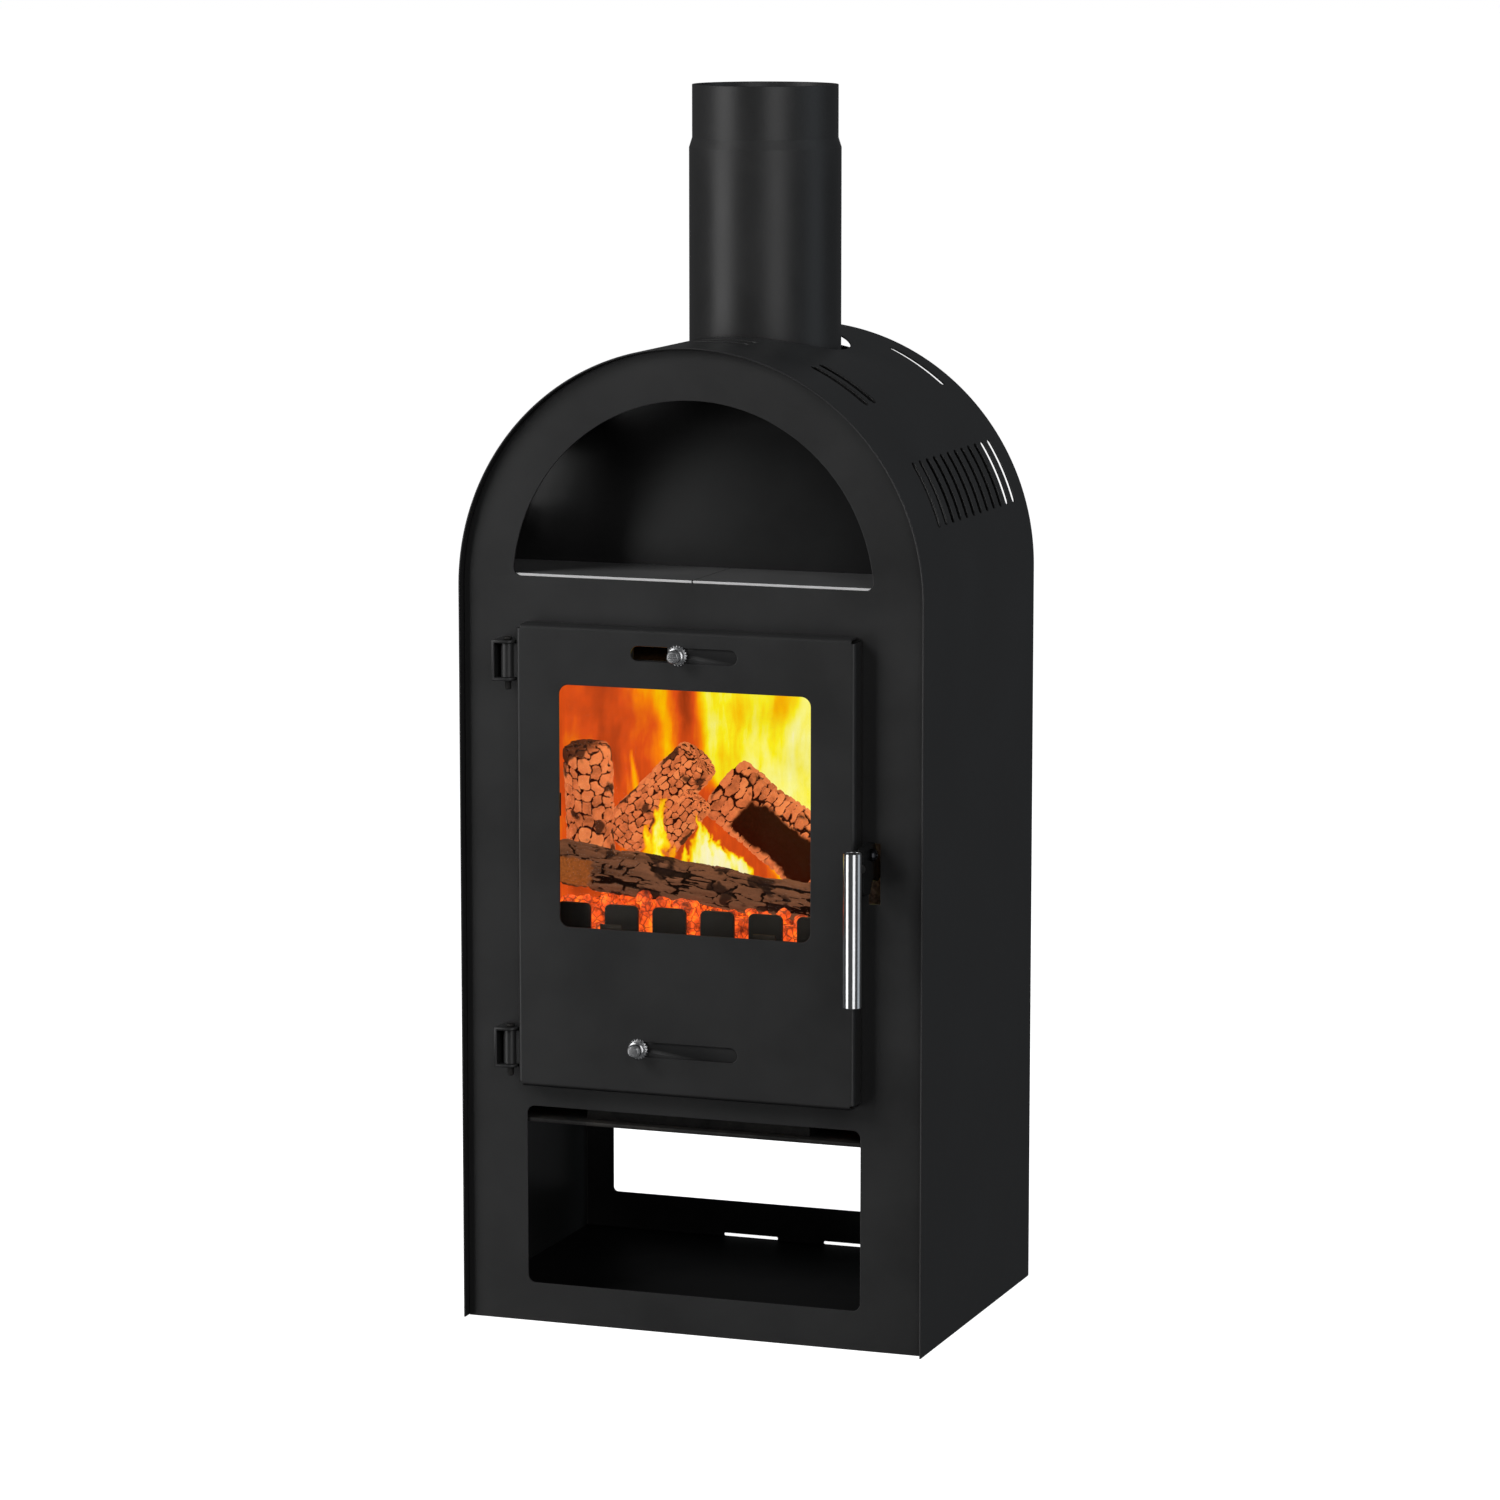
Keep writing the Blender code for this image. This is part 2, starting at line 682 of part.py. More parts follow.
def make_door_panel():
    """A sheet folded back on all four sides into a tray, its corners left open between the folds."""
    half = DOOR_HALF_WIDTH
    panel = block(
        "door_panel",
        (-half, DOOR_FACE, DOOR_BOTTOM_Z),
        (half, DOOR_FACE + DOOR_TRAY, DOOR_TOP_Z),
        "black_paint",
    )
    open_back(panel)
    bend = panel.modifiers.new("bend", "BEVEL")
    bend.width = DOOR_BEND
    bend.segments = 3
    sheet = panel.modifiers.new("sheet", "SOLIDIFY")
    sheet.thickness = DOOR_SHEET
    sheet.offset = -1
    sheet.use_even_offset = True
    face_y = y_at(DOOR_FACE)
    notch = 0.006
    for side_x in (-1, 1):
        for name, edge_z in (("bottom", DOOR_BOTTOM_Z), ("top", DOOR_TOP_Z)):
            corner = (side_x * half, DOOR_FACE + DOOR_TRAY / 2, edge_z)
            low = [corner[0] - notch, DOOR_FACE - 0.01, corner[2] - notch]
            high = [corner[0] + notch, DOOR_FACE + DOOR_TRAY + 0.01, corner[2] + notch]
            combine(panel, block(f"corner_{name}_{side_x}_cutter", low, high))
    half_width, bottom, top = WINDOW
    holes = {
        "window": rounded_box(-half_width, half_width, bottom, top, 0.010, 4),
        "upper_air": stadium(AIR_SLOT_HALF_WIDTH, AIR_SLOT_HEIGHT / 2, (0, UPPER_SLOT_Z)),
        "lower_air": stadium(AIR_SLOT_HALF_WIDTH, AIR_SLOT_HEIGHT / 2, (0, LOWER_SLOT_Z)),
    }
    for name, outline in holes.items():
        combine(panel, extruded(f"door_{name}_cutter", [outline], 0.012, "XZ", (0, face_y, 0)))
    bolt_hole = cylinder(
        "pivot_hole_cutter",
        0.0034,
        (half - 0.01, PIVOT_SETBACK, PIVOT_Z),
        (half + 0.01, PIVOT_SETBACK, PIVOT_Z),
        steps=16,
    )
    return combine(panel, bolt_hole)


def open_back(solid):
    """Takes the face at the back off a block, which leaves an open surface."""
    shape = bmesh.new()
    shape.from_mesh(solid.data)
    back = [face for face in shape.faces if face.normal.y > 0.9]
    bmesh.ops.delete(shape, geom=back, context="FACES")
    shape.to_mesh(solid.data)
    shape.free()


def ring_plate(name, outer, inner, thickness, setback, paint, radius=0.004):
    """A flat frame between two rectangles given as (half width, bottom, top)."""
    loops = [rounded_box(-half, half, bottom, top, radius) for half, bottom, top in (outer, inner)]
    return extruded(name, loops, thickness, "XZ", (0, y_at(setback + thickness / 2), 0), paint)


def make_glazing():
    half, bottom, top = WINDOW
    behind_sheet = DOOR_FACE + DOOR_SHEET + GAP
    gasket = 0.0018
    glass = 0.004
    lap = 0.013
    outer = (half + lap, bottom - lap, top + lap)
    inner = (half + 0.0035, bottom - 0.0035, top + 0.0035)
    glass_front = behind_sheet + gasket + GAP
    glass_back = glass_front + glass
    pieces = [ring_plate("glass_gasket", outer, inner, gasket, behind_sheet, "rope_fibre")]
    outline = rounded_box(-outer[0], outer[0], outer[1], outer[2], 0.004)
    pieces.append(
        extruded(
            "door_glass",
            [outline],
            glass,
            "XZ",
            (0, y_at((glass_front + glass_back) / 2), 0),
            "stove_glass",
        )
    )
    pieces += make_glass_clips(outer, behind_sheet, glass_back + GAP)
    return pieces


def clip_profile(foot_setback, tongue_setback, tongue):
    """A small stepped bracket: a foot on the door, a riser past the glass edge and a tongue over the glass.

    First coordinate: distance from the glass edge, towards the glass's middle. Second: setback.
    """
    sheet = 0.0015
    foot = 0.016
    clear = 0.002
    return [
        (-foot, foot_setback),
        (-clear, foot_setback),
        (-clear, tongue_setback),
        (tongue, tongue_setback),
        (tongue, tongue_setback + sheet),
        (-clear - sheet, tongue_setback + sheet),
        (-clear - sheet, foot_setback + sheet),
        (-foot, foot_setback + sheet),
    ]


def make_glass_clips(glass_edges, foot_setback, tongue_setback):
    half, bottom, top = glass_edges
    width = 0.0235
    lower_tongue = 0.0165
    side_tongue = 0.0110
    profile = clip_profile(foot_setback, tongue_setback, lower_tongue)
    clips = []
    for side, name in ((-1, "glass_clip_lower_left"), (1, "glass_clip_lower_right")):
        outline = [(y_at(setback), bottom + inward) for inward, setback in profile]
        clips.append(extruded(name, [outline], width, "YZ", (side * 0.082, 0, 0), "dark_steel"))
    profile = clip_profile(foot_setback, tongue_setback, side_tongue)
    for side, name in ((-1, "glass_clip_left"), (1, "glass_clip_right")):
        outline = [(side * (half - inward), y_at(setback)) for inward, setback in profile]
        middle_z = (bottom + top) / 2
        clips.append(extruded(name, [outline], width, "XY", (0, 0, middle_z), "dark_steel"))
    return clips


def make_rope_seal():
    """The heat-proof rope round the back of the door, which closes it against the front panel."""
    radius = 0.0043
    half = 0.1685
    bottom, top = DOOR_BOTTOM_Z + 0.0115, DOOR_TOP_Z - 0.0110
    path = rounded_box(-half, half, bottom, top, 0.012, 3)
    curve = bpy.data.curves.new("door_rope_seal", "CURVE")
    curve.dimensions = "3D"
    curve.bevel_depth = radius
    curve.bevel_resolution = 2
    spline = curve.splines.new("POLY")
    spline.points.add(len(path) - 1)
    for point, (across, up) in zip(spline.points, path):
        point.co = (across, up, 0, 1)
    spline.use_cyclic_u = True
    rope = bpy.data.objects.new("door_rope_seal", curve)
    rope.location = (0, y_at(PANEL_SETBACK - GAP - radius), 0)
    rope.rotation_euler = TURNS["XZ"]
    place_in(rope, "rope_fibre")
    return rope


def make_hinge(which):
    """One hinge: a bracket welded to the front panel, its pin, and the door's leaf. Returns the leaf."""
    bottom = HINGE_BOTTOMS[which]
    middle_z = bottom + HINGE_HEIGHT / 2
    left, right = -0.205, -0.182
    front = HINGE_SETBACK - 0.010
    back = PANEL_SETBACK - GAP
    sheet = BRACKET_SHEET
    pin_radius = 0.00325
    hole_radius = pin_radius + GAP
    profile = [
        (left, bottom),
        (right, bottom),
        (right, bottom + sheet),
        (left + sheet, bottom + sheet),
        (left + sheet, bottom + HINGE_HEIGHT - sheet),
        (right, bottom + HINGE_HEIGHT - sheet),
        (right, bottom + HINGE_HEIGHT),
        (left, bottom + HINGE_HEIGHT),
    ]
    bracket = extruded(
        f"hinge_bracket_{which}",
        [profile],
        back - front,
        "XZ",
        (0, y_at((front + back) / 2), 0),
        "black_paint",
    )
    nose = 0.009
    corner = arc((right - nose, y_at(front) + nose), nose, 270, 360, 4)
    plan = [(left - 0.001, y_at(front) - 0.001), (right - 2 * nose, y_at(front) - 0.001), *corner]
    plan += [(right + 0.001, y_at(back) + 0.001), (left - 0.001, y_at(back) + 0.001)]
    combine(bracket, extruded(f"bracket_plan_{which}_cutter", [plan], 0.06, "XY", (0, 0, middle_z)), "INTERSECT")
    bore = cylinder(
        f"bracket_bore_{which}_cutter",
        hole_radius,
        (HINGE_X, HINGE_SETBACK, bottom - 0.01),
        (HINGE_X, HINGE_SETBACK, bottom + HINGE_HEIGHT + 0.01),
        steps=20,
    )
    combine(bracket, bore)
    head_bottom = bottom + HINGE_HEIGHT + GAP
    pin = [
        (0, head_bottom + 0.003),
        (0.0035, head_bottom + 0.003),
        (0.0045, head_bottom + 0.002),
        (0.0045, head_bottom),
        (pin_radius, head_bottom),
        (pin_radius, bottom - 0.0085),
        (pin_radius - 0.001, bottom - 0.0095),
        (0, bottom - 0.0095),
    ]
    turned(f"hinge_pin_{which}", pin, (HINGE_X, HINGE_SETBACK, 0), "up", "dark_steel", steps=20)
    return make_hinge_leaf(which, middle_z, hole_radius)


def make_hinge_leaf(which, middle_z, hole_radius):
    """The knuckle that turns on the pin, rolled from the strap that is welded to the door's left fold."""
    knuckle_radius = 0.0073
    strap = 0.0025
    height = HINGE_HEIGHT - 2 * BRACKET_SHEET - 2 * GAP
    pin_y = y_at(HINGE_SETBACK)
    fold_x = -DOOR_HALF_WIDTH - GAP
    strap_back = y_at(DOOR_FACE + DOOR_TRAY - 0.002)
    outline = arc((HINGE_X, pin_y), knuckle_radius, 340, 40, 10)
    outline += [
        (fold_x - strap, pin_y + knuckle_radius * sin(radians(40))),
        (fold_x - strap, strap_back),
        (fold_x, strap_back),
        (fold_x, pin_y + knuckle_radius * sin(radians(340))),
    ]
    bore = arc((HINGE_X, pin_y), hole_radius, 0, 342, 19)
    return extruded(f"hinge_leaf_{which}", [outline, bore], height, "XY", (0, 0, middle_z), "black_paint")


# ---------------------------------------------------------------- air controls
def make_air_guide(name, middle_z):
    """The channel on the back of the door in which a slide plate runs; its window lets the air through."""
    left, right = -0.080, 0.160
    depth = 0.0057
    sheet = 0.0012
    half = 0.0142
    front = DOOR_FACE + DOOR_SHEET + GAP
    back = front + depth
    outline = [
        (front, -half),
        (front, -half + sheet),
        (back - sheet, -half + sheet),
        (back - sheet, half - sheet),
        (front, half - sheet),
        (front, half),
        (back, half),
        (back, -half),
    ]
    loop = [(y_at(setback), up) for setback, up in outline]
    middle_x = (left + right) / 2
    guide = extruded(name, [loop], right - left, "YZ", (middle_x, 0, middle_z), "dark_steel")
    window = block(
        name + "_cutter",
        (-AIR_SLOT_HALF_WIDTH, back - 0.004, middle_z - 0.007),
        (AIR_SLOT_HALF_WIDTH, back + 0.002, middle_z + 0.007),
    )
    return combine(guide, window)


def make_air_control(which, knob_x, slot_z, plate_width):
    """A slide plate behind the door with a bright knob in front; all three pieces slide together."""
    plate_front = DOOR_FACE + DOOR_SHEET + GAP
    plate_sheet = 0.002
    stud_radius = 0.0025
    plate_half = 0.0125
    left = knob_x - KNOB_EDGE
    plate = extruded(
        f"{which}_air_plate",
        [
            plain_box(left - knob_x, left - knob_x + plate_width, -plate_half, plate_half),
            arc((0, 0), stud_radius + GAP, 0, 330, 11),
        ],
        plate_sheet,
        "XZ",
        (knob_x, y_at(plate_front + plate_sheet / 2), slot_z),
        "black_paint",
    )
    washer_front = GAP + 0.0013
    washer = [
        (0.0104, washer_front),
        (0.0104, GAP),
        (stud_radius + GAP, GAP),
        (stud_radius + GAP, washer_front),
    ]
    star = turned(
        f"{which}_knob_washer", washer, (knob_x, DOOR_FACE, slot_z), "front", "bright_steel", steps=24, ring=True
    )
    collar_back = washer_front + GAP
    knob = [
        (0, 0.0160),
        (0.0050, 0.0160),
        (0.0070, 0.0140),
        (0.0070, 0.0062),
        (0.0052, 0.0056),
        (0.0052, 0.0046),
        (0.0088, 0.0042),
        (0.0088, collar_back),
        (stud_radius, collar_back),
        (stud_radius, -0.0058),
        (0, -0.0058),
    ]
    grip = turned(f"{which}_air_knob", knob, (knob_x, DOOR_FACE, slot_z), "front", "bright_steel", steps=24)
    return plate, star, grip


# ---------------------------------------------------------------- handle
def lever_outline():
    """Side view of the lever plate: the handle's arm in front, the hook at the back."""
    top = HANDLE_TOP_Z + 0.002
    low = 0.470
    round_off = 0.006
    front = LEVER_FRONT + round_off
    outline = arc((y_at(front), low + round_off), round_off, 270, 180, 3)
    outline += arc((y_at(front), top - round_off), round_off, 180, 90, 3)
    outline += arc((y_at(0.000), top - 0.008), 0.008, 90, 20, 3)
    outline += [(y_at(setback), up) for setback, up in HOOK]
    return outline


def make_handle():
    lever_left = HANDLE_X - LEVER_SHEET / 2
    lever_right = HANDLE_X + LEVER_SHEET / 2
    bolt_radius = 0.003
    bore = arc((y_at(PIVOT_SETBACK), PIVOT_Z), bolt_radius + GAP, 0, 330, 11)
    lever = extruded(
        "lever_plate", [lever_outline(), bore], LEVER_SHEET, "YZ", (HANDLE_X, 0, 0), "black_paint"
    )
    wall = 0.0015
    inner = HANDLE_RADIUS - wall
    edge = 0.0008
    tube = [
        (inner + edge / 2, HANDLE_TOP_Z),
        (HANDLE_RADIUS - edge, HANDLE_TOP_Z),
        (HANDLE_RADIUS, HANDLE_TOP_Z - edge),
        (HANDLE_RADIUS, HANDLE_BOTTOM_Z + edge),
        (HANDLE_RADIUS - edge, HANDLE_BOTTOM_Z),
        (inner + edge / 2, HANDLE_BOTTOM_Z),
        (inner, HANDLE_BOTTOM_Z + edge / 2),
        (inner, HANDLE_TOP_Z - edge / 2),
    ]
    place = (HANDLE_X, HANDLE_SETBACK, 0)
    rod = turned("handle_rod", tube, place, "up", "bright_steel", ring=True)
    cap_radius = inner - GAP
    recess = 0.0012
    caps = []
    for name, start, end in (
        ("handle_cap_top", HANDLE_TOP_Z - recess - 0.006, HANDLE_TOP_Z - recess),
        ("handle_cap_bottom", HANDLE_BOTTOM_Z + recess, HANDLE_BOTTOM_Z + recess + 0.006),
    ):
        bar = cylinder(
            name,
            cap_radius,
            (HANDLE_X, HANDLE_SETBACK, start),
            (HANDLE_X, HANDLE_SETBACK, end),
            "black_paint",
            steps=24,
        )
        caps.append(bar)
    stem_radius = 0.005
    stem_z = 0.498
    stem = cylinder(
        "handle_stem",
        stem_radius,
        (HANDLE_X, HANDLE_SETBACK + HANDLE_RADIUS + GAP, stem_z),
        (HANDLE_X, LEVER_FRONT - GAP, stem_z),
        "dark_steel",
        steps=20,
    )
    make_pivot(lever_left, lever_right, bolt_radius)
    return [lever, rod, stem, *caps]


def make_pivot(lever_left, lever_right, bolt_radius):
    """The bolt that the lever turns on, with its spacer outside the door's fold and its nut inside."""
    fold = DOOR_HALF_WIDTH
    nut_left, nut_right = fold - 0.0078, fold - DOOR_SHEET - 0.001
    head_start = lever_right + GAP
    place = (0, PIVOT_SETBACK, PIVOT_Z)
    bolt = [
        (0, head_start + 0.0045),
        (0.0046, head_start + 0.0042),
        (0.0062, head_start + 0.0030),
        (0.0062, head_start),
        (bolt_radius, head_start),
        (bolt_radius, nut_left - 0.0012),
        (0, nut_left - 0.0012),
    ]
    turned("pivot_bolt", bolt, place, "right", "bright_steel", steps=24)
    bore = bolt_radius + GAP
    spacer = [
        (0.0060, lever_left - GAP),
        (0.0060, fold + GAP),
        (bore, fold + GAP),
        (bore, lever_left - GAP),
    ]
    turned("pivot_spacer", spacer, place, "right", "dark_steel", steps=24, ring=True)
    hexagon = arc((0, 0), 0.0056, 30, 330, 5)
    hole = arc((0, 0), bore, 0, 330, 11)
    centre = ((nut_left + nut_right) / 2, y_at(PIVOT_SETBACK), PIVOT_Z)
    extruded("pivot_nut", [hexagon, hole], nut_right - nut_left, "YZ", centre, "dark_steel")


# ---------------------------------------------------------------- assembly
def main():
    make_outer_shell()
    make_front_panel()
    make_rear_panel()
    make_floor_plate()
    make_niche()
    make_firebox()
    make_linings()
    make_grate()
    make_flue()
    make_fuel()

    door = hinge_axis()
    hang_on(door, [make_door_panel(), *make_glazing(), make_rope_seal()])
    hang_on(door, [make_hinge(which) for which in HINGE_BOTTOMS])
    for which, slot_z in (("upper", UPPER_SLOT_Z), ("lower", LOWER_SLOT_Z)):
        hang_on(door, [make_air_guide(f"{which}_air_guide", slot_z)])
    hang_on(door, make_air_control("upper", UPPER_KNOB_X, UPPER_SLOT_Z, UPPER_PLATE_WIDTH))
    hang_on(door, make_air_control("lower", LOWER_KNOB_X, LOWER_SLOT_Z, LOWER_PLATE_WIDTH))

    pivot = bpy.data.objects.new("handle_pivot_axis", None)
    pivot.location = (HANDLE_X, y_at(PIVOT_SETBACK), PIVOT_Z)
    STOVE.objects.link(pivot)
    hang_on(pivot, make_handle())
    hang_on(door, [pivot])
    hang_on(door, [bpy.data.objects[name] for name in ("pivot_bolt", "pivot_spacer", "pivot_nut")])
    bpy.context.view_layer.update()


main()
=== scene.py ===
"""Looks of the wood burning stove: finer meshes, materials, the fire, light and camera around the CAD frame.

Metres, in the CAD's own frame: +X is the stove's right seen from the front, +Y the back, +Z up. A depth
called a setback is measured back from the case's front edge.
"""

from math import asin, cos, floor, pi, radians, sin, sqrt

import bmesh
import bpy
import numpy as np
from mathutils import Matrix, Vector, noise


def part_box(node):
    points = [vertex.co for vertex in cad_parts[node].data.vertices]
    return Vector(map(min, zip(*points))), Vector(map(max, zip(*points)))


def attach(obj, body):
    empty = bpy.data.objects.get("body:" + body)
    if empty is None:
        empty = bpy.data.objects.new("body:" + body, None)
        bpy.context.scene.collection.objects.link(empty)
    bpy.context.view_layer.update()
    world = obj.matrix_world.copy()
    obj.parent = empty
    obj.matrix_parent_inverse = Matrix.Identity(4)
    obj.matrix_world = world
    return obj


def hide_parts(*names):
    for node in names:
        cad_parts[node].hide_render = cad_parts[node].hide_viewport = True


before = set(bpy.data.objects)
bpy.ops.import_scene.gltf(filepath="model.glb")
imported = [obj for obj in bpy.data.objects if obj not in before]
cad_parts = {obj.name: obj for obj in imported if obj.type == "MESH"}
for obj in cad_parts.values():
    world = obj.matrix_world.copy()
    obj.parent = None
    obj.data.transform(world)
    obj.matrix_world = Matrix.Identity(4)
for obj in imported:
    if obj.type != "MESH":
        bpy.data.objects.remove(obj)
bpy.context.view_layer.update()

# ---------------------------------------------------------------- dimensions that the pieces share
CASE_LOW, CASE_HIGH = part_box("outer_shell")
FRONT_Y = CASE_LOW.y
CASE_HALF = CASE_HIGH.x
CASE_DEPTH = CASE_HIGH.y - CASE_LOW.y
ARCH_CENTRE_Z = CASE_HIGH.z - CASE_HALF
SHEET = 0.002
RIM = 0.0006            # rounding of a cut sheet's edges

PANEL_LOW, PANEL_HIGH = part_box("front_panel")
REAR_LOW, REAR_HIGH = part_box("rear_panel")
DOOR_LOW, DOOR_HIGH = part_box("door_panel")
PIPE_LOW, PIPE_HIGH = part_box("flue_pipe")
PIPE_Y = (PIPE_LOW.y + PIPE_HIGH.y) / 2

NICHE_RADIUS = 0.1915
NICHE_CENTRE_Z = 0.758
NICHE_FLOOR_Z = 0.7682
STORE = (0.179, 0.0404, 0.225)        # half width, bottom and top of the log store's opening
FIRE_OPENING = (0.160, 0.270, 0.703)
REAR_WINDOW = (0.214, 0.060, 0.198)
REAR_ARCH_RADIUS = 0.229
WINDOW = (0.1335, 0.417, 0.663)
LATCH_SLOT = (0.187, 0.199, 0.456, 0.517)
UPPER_SLOT_Z = 0.698
LOWER_SLOT_Z = 0.297
AIR_SLOT = (0.0563, 0.0075)           # half length and half height

VENT_ANGLE, VENT_FIRST, VENT_PITCH, VENT_WIDTH, VENT_COUNT = 65.5, 0.0786, 0.0224, 0.009, 12
TOP_ANGLE, FRONT_SETBACKS, FRONT_WIDTH = 32.2, (0.082, 0.106), 0.014
REAR_SETBACK, REAR_WIDTH = 0.327, 0.010
VENT_SETBACKS = [VENT_FIRST + VENT_PITCH * i for i in range(VENT_COUNT)]
# every slot in the arch: degrees from the top, setback, width
ARCH_SLOTS = [
    *((side * VENT_ANGLE, setback, VENT_WIDTH) for side in (-1, 1) for setback in VENT_SETBACKS),
    *((side * TOP_ANGLE, setback, FRONT_WIDTH) for setback in FRONT_SETBACKS for side in (-1, 0, 1)),
    *((side * TOP_ANGLE, REAR_SETBACK, REAR_WIDTH) for side in (-1, 1)),
]
SLOT_SPAN = 16.3                      # how far a slot runs round the arch, in degrees
FLUE_HOLE_RADIUS = 0.087
PIPE_WALL = 0.0015
SPIGOT_STEP = 0.00315                 # how much smaller the spigot's radius is than the pipe's
SPIGOT_HEIGHT, SHOULDER_HEIGHT = 0.0537, 0.0100
FOLD_RADIUS = 0.004                   # outer radius of the door's folded edges
DOOR_NOTCH = 0.0045
HINGE_RADIUS, HINGE_BORE, HINGE_STRAP, PIN_RADIUS = 0.0073, 0.00355, 0.0025, 0.00325
TUBE_WALL = 0.0015
FINE_EDGE = 0.0004                    # rounding of a CAD piece's edges
ROPE_STRANDS = 5
FLAME_TOP = 0.668                     # just under the firebox's opening in front of the baffle

# the photo's camera, solved from the case's straight edges
LENS, SENSOR = 135.318, 36.0
CAMERA_PLACE = (1.95387, -5.34482, 1.45749)
LOOK_DOWN, LOOK_ROUND = 8.763, 19.974         # degrees


def y_at(setback):
    return FRONT_Y + setback


# ---------------------------------------------------------------- outlines
def arc(centre, radius, start, end, steps):
    angles = [radians(start + (end - start) * i / steps) for i in range(steps + 1)]
    return [(centre[0] + radius * cos(a), centre[1] + radius * sin(a)) for a in angles]


def circle(radius, steps):
    return [(radius * cos(a), radius * sin(a)) for a in [2 * pi * i / steps for i in range(steps)]]


def rounded_box(left, right, bottom, top, radius, steps=8):
    corners = (
        ((right - radius, top - radius), 0),
        ((left + radius, top - radius), 90),
        ((left + radius, bottom + radius), 180),
        ((right - radius, bottom + radius), 270),
    )
    return [point for centre, start in corners for point in arc(centre, radius, start, start + 90, steps)]


def stadium(half_length, half_width, middle=(0.0, 0.0), steps=12):
    straight = half_length - half_width
    right = arc((middle[0] + straight, middle[1]), half_width, -90, 90, steps)
    return right + arc((middle[0] - straight, middle[1]), half_width, 90, 270, steps)


def soften(points, radius, steps=4, closed=False):
    """The same path with each corner replaced by an arc of up to that radius."""
    rounded = []
    count = len(points)
    for i, point in enumerate(points):
        here = Vector(point)
        if not closed and i in (0, count - 1):
            rounded.append(tuple(here))
            continue
        before = Vector(points[i - 1]) - here
        after = Vector(points[(i + 1) % count]) - here
        turn = before.angle(after)
        if turn > radians(178):
            rounded.append(tuple(here))
            continue
        reach = min(radius / np.tan(turn / 2), 0.48 * before.length, 0.48 * after.length)
        start, end = here + before.normalized() * reach, here + after.normalized() * reach
        for step in range(steps + 1):
            t = step / steps
            rounded.append(tuple(start * (1 - t) ** 2 + here * 2 * t * (1 - t) + end * t * t))
    return rounded


def evenly(path, step):
    """The same path with points added, at least a step apart."""
    points = []
    for (x0, y0), (x1, y1) in zip(path, path[1:]):
        parts = max(1, floor(sqrt((x1 - x0) ** 2 + (y1 - y0) ** 2) / step))
        points += [(x0 + (x1 - x0) * i / parts, y0 + (y1 - y0) * i / parts) for i in range(parts)]
    return points + [path[-1]]


# ---------------------------------------------------------------- mesh helpers
def show(name, mesh, body, stands_for=(), smooth_angle=35):
    """Adds a finished mesh as a piece that rides on a body."""
    mesh.name = name
    piece = bpy.data.objects.new(name, mesh)
    bpy.context.scene.collection.objects.link(piece)
    mesh.shade_smooth()
    mesh.set_sharp_from_angle(angle=radians(smooth_angle))
    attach(piece, body)
    if stands_for:
        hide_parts(*stands_for)
    return piece


def even_normals(piece):
    """Large faces keep their own normal, so that a rounded edge doesn't shade across a flat sheet."""
    weigh = piece.modifiers.new("even_normals", "WEIGHTED_NORMAL")
    weigh.keep_sharp = True
    weigh.weight = 100
    return piece


def flat_plate(loops, thickness, rim=RIM):
    """A bmesh of a flat plate with rounded edges: the outline loops[0] less the holes, Z across the sheet."""
    curve = bpy.data.curves.new("plate", "CURVE")
    curve.dimensions = "2D"
    curve.fill_mode = "BOTH"
    curve.extrude = thickness / 2 - rim
    curve.bevel_depth = rim
    curve.bevel_resolution = 1
    curve.offset = -rim
    for loop in loops:
        spline = curve.splines.new("POLY")
        spline.points.add(len(loop) - 1)
        for point, (across, up) in zip(spline.points, loop):
            point.co = (across, up, 0, 1)
        spline.use_cyclic_u = True
    guide = bpy.data.objects.new("plate", curve)
    bpy.context.scene.collection.objects.link(guide)
    graph = bpy.context.evaluated_depsgraph_get()
    mesh = bpy.data.meshes.new_from_object(guide.evaluated_get(graph))
    bpy.data.objects.remove(guide)
    bpy.data.curves.remove(curve)
    shape = bmesh.new()
    shape.from_mesh(mesh)
    bpy.data.meshes.remove(mesh)
    bmesh.ops.remove_doubles(shape, verts=shape.verts, dist=2e-6)
    bmesh.ops.dissolve_degenerate(shape, edges=shape.edges, dist=1e-7)
    bmesh.ops.recalc_face_normals(shape, faces=shape.faces)
    return shape


def cut_at(shape, positions, axis):
    """Adds edges across a flat plate at these positions, where it will bend."""
    normal = Vector((1, 0, 0)) if axis == "x" else Vector((0, 1, 0))
    for position in positions:
        parts = shape.verts[:] + shape.edges[:] + shape.faces[:]
        bmesh.ops.bisect_plane(shape, geom=parts, dist=1e-7, plane_co=normal * position, plane_no=normal)


def reshape(shape, place):
    """Moves every point through place(x, y, z) and returns the mesh."""
    for vert in shape.verts:
        vert.co = place(*vert.co)
    bmesh.ops.recalc_face_normals(shape, faces=shape.faces)
    mesh = bpy.data.meshes.new("piece")
    shape.to_mesh(mesh)
    shape.free()
    return mesh


def face_outward(mesh):
    """Turns every face's normal outwards."""
    shape = bmesh.new()
    shape.from_mesh(mesh)
    bmesh.ops.recalc_face_normals(shape, faces=shape.faces)
    shape.to_mesh(mesh)
    shape.free()


def give_values(mesh, values):
    """Stores a named number for every point, for the material to read."""
    for key, numbers in values.items():
        mesh.attributes.new(key, "FLOAT", "POINT").data.foreach_set("value", np.array(numbers, np.float32))


def sheet_piece(name, body, slot, node, loops, thickness, place, rim=RIM):
    """A flat plate moved through place(x, y, z), which stands for one CAD node."""
    mesh = reshape(flat_plate(loops, thickness, rim), place)
    return even_normals(show(name, mesh, body, [node]))


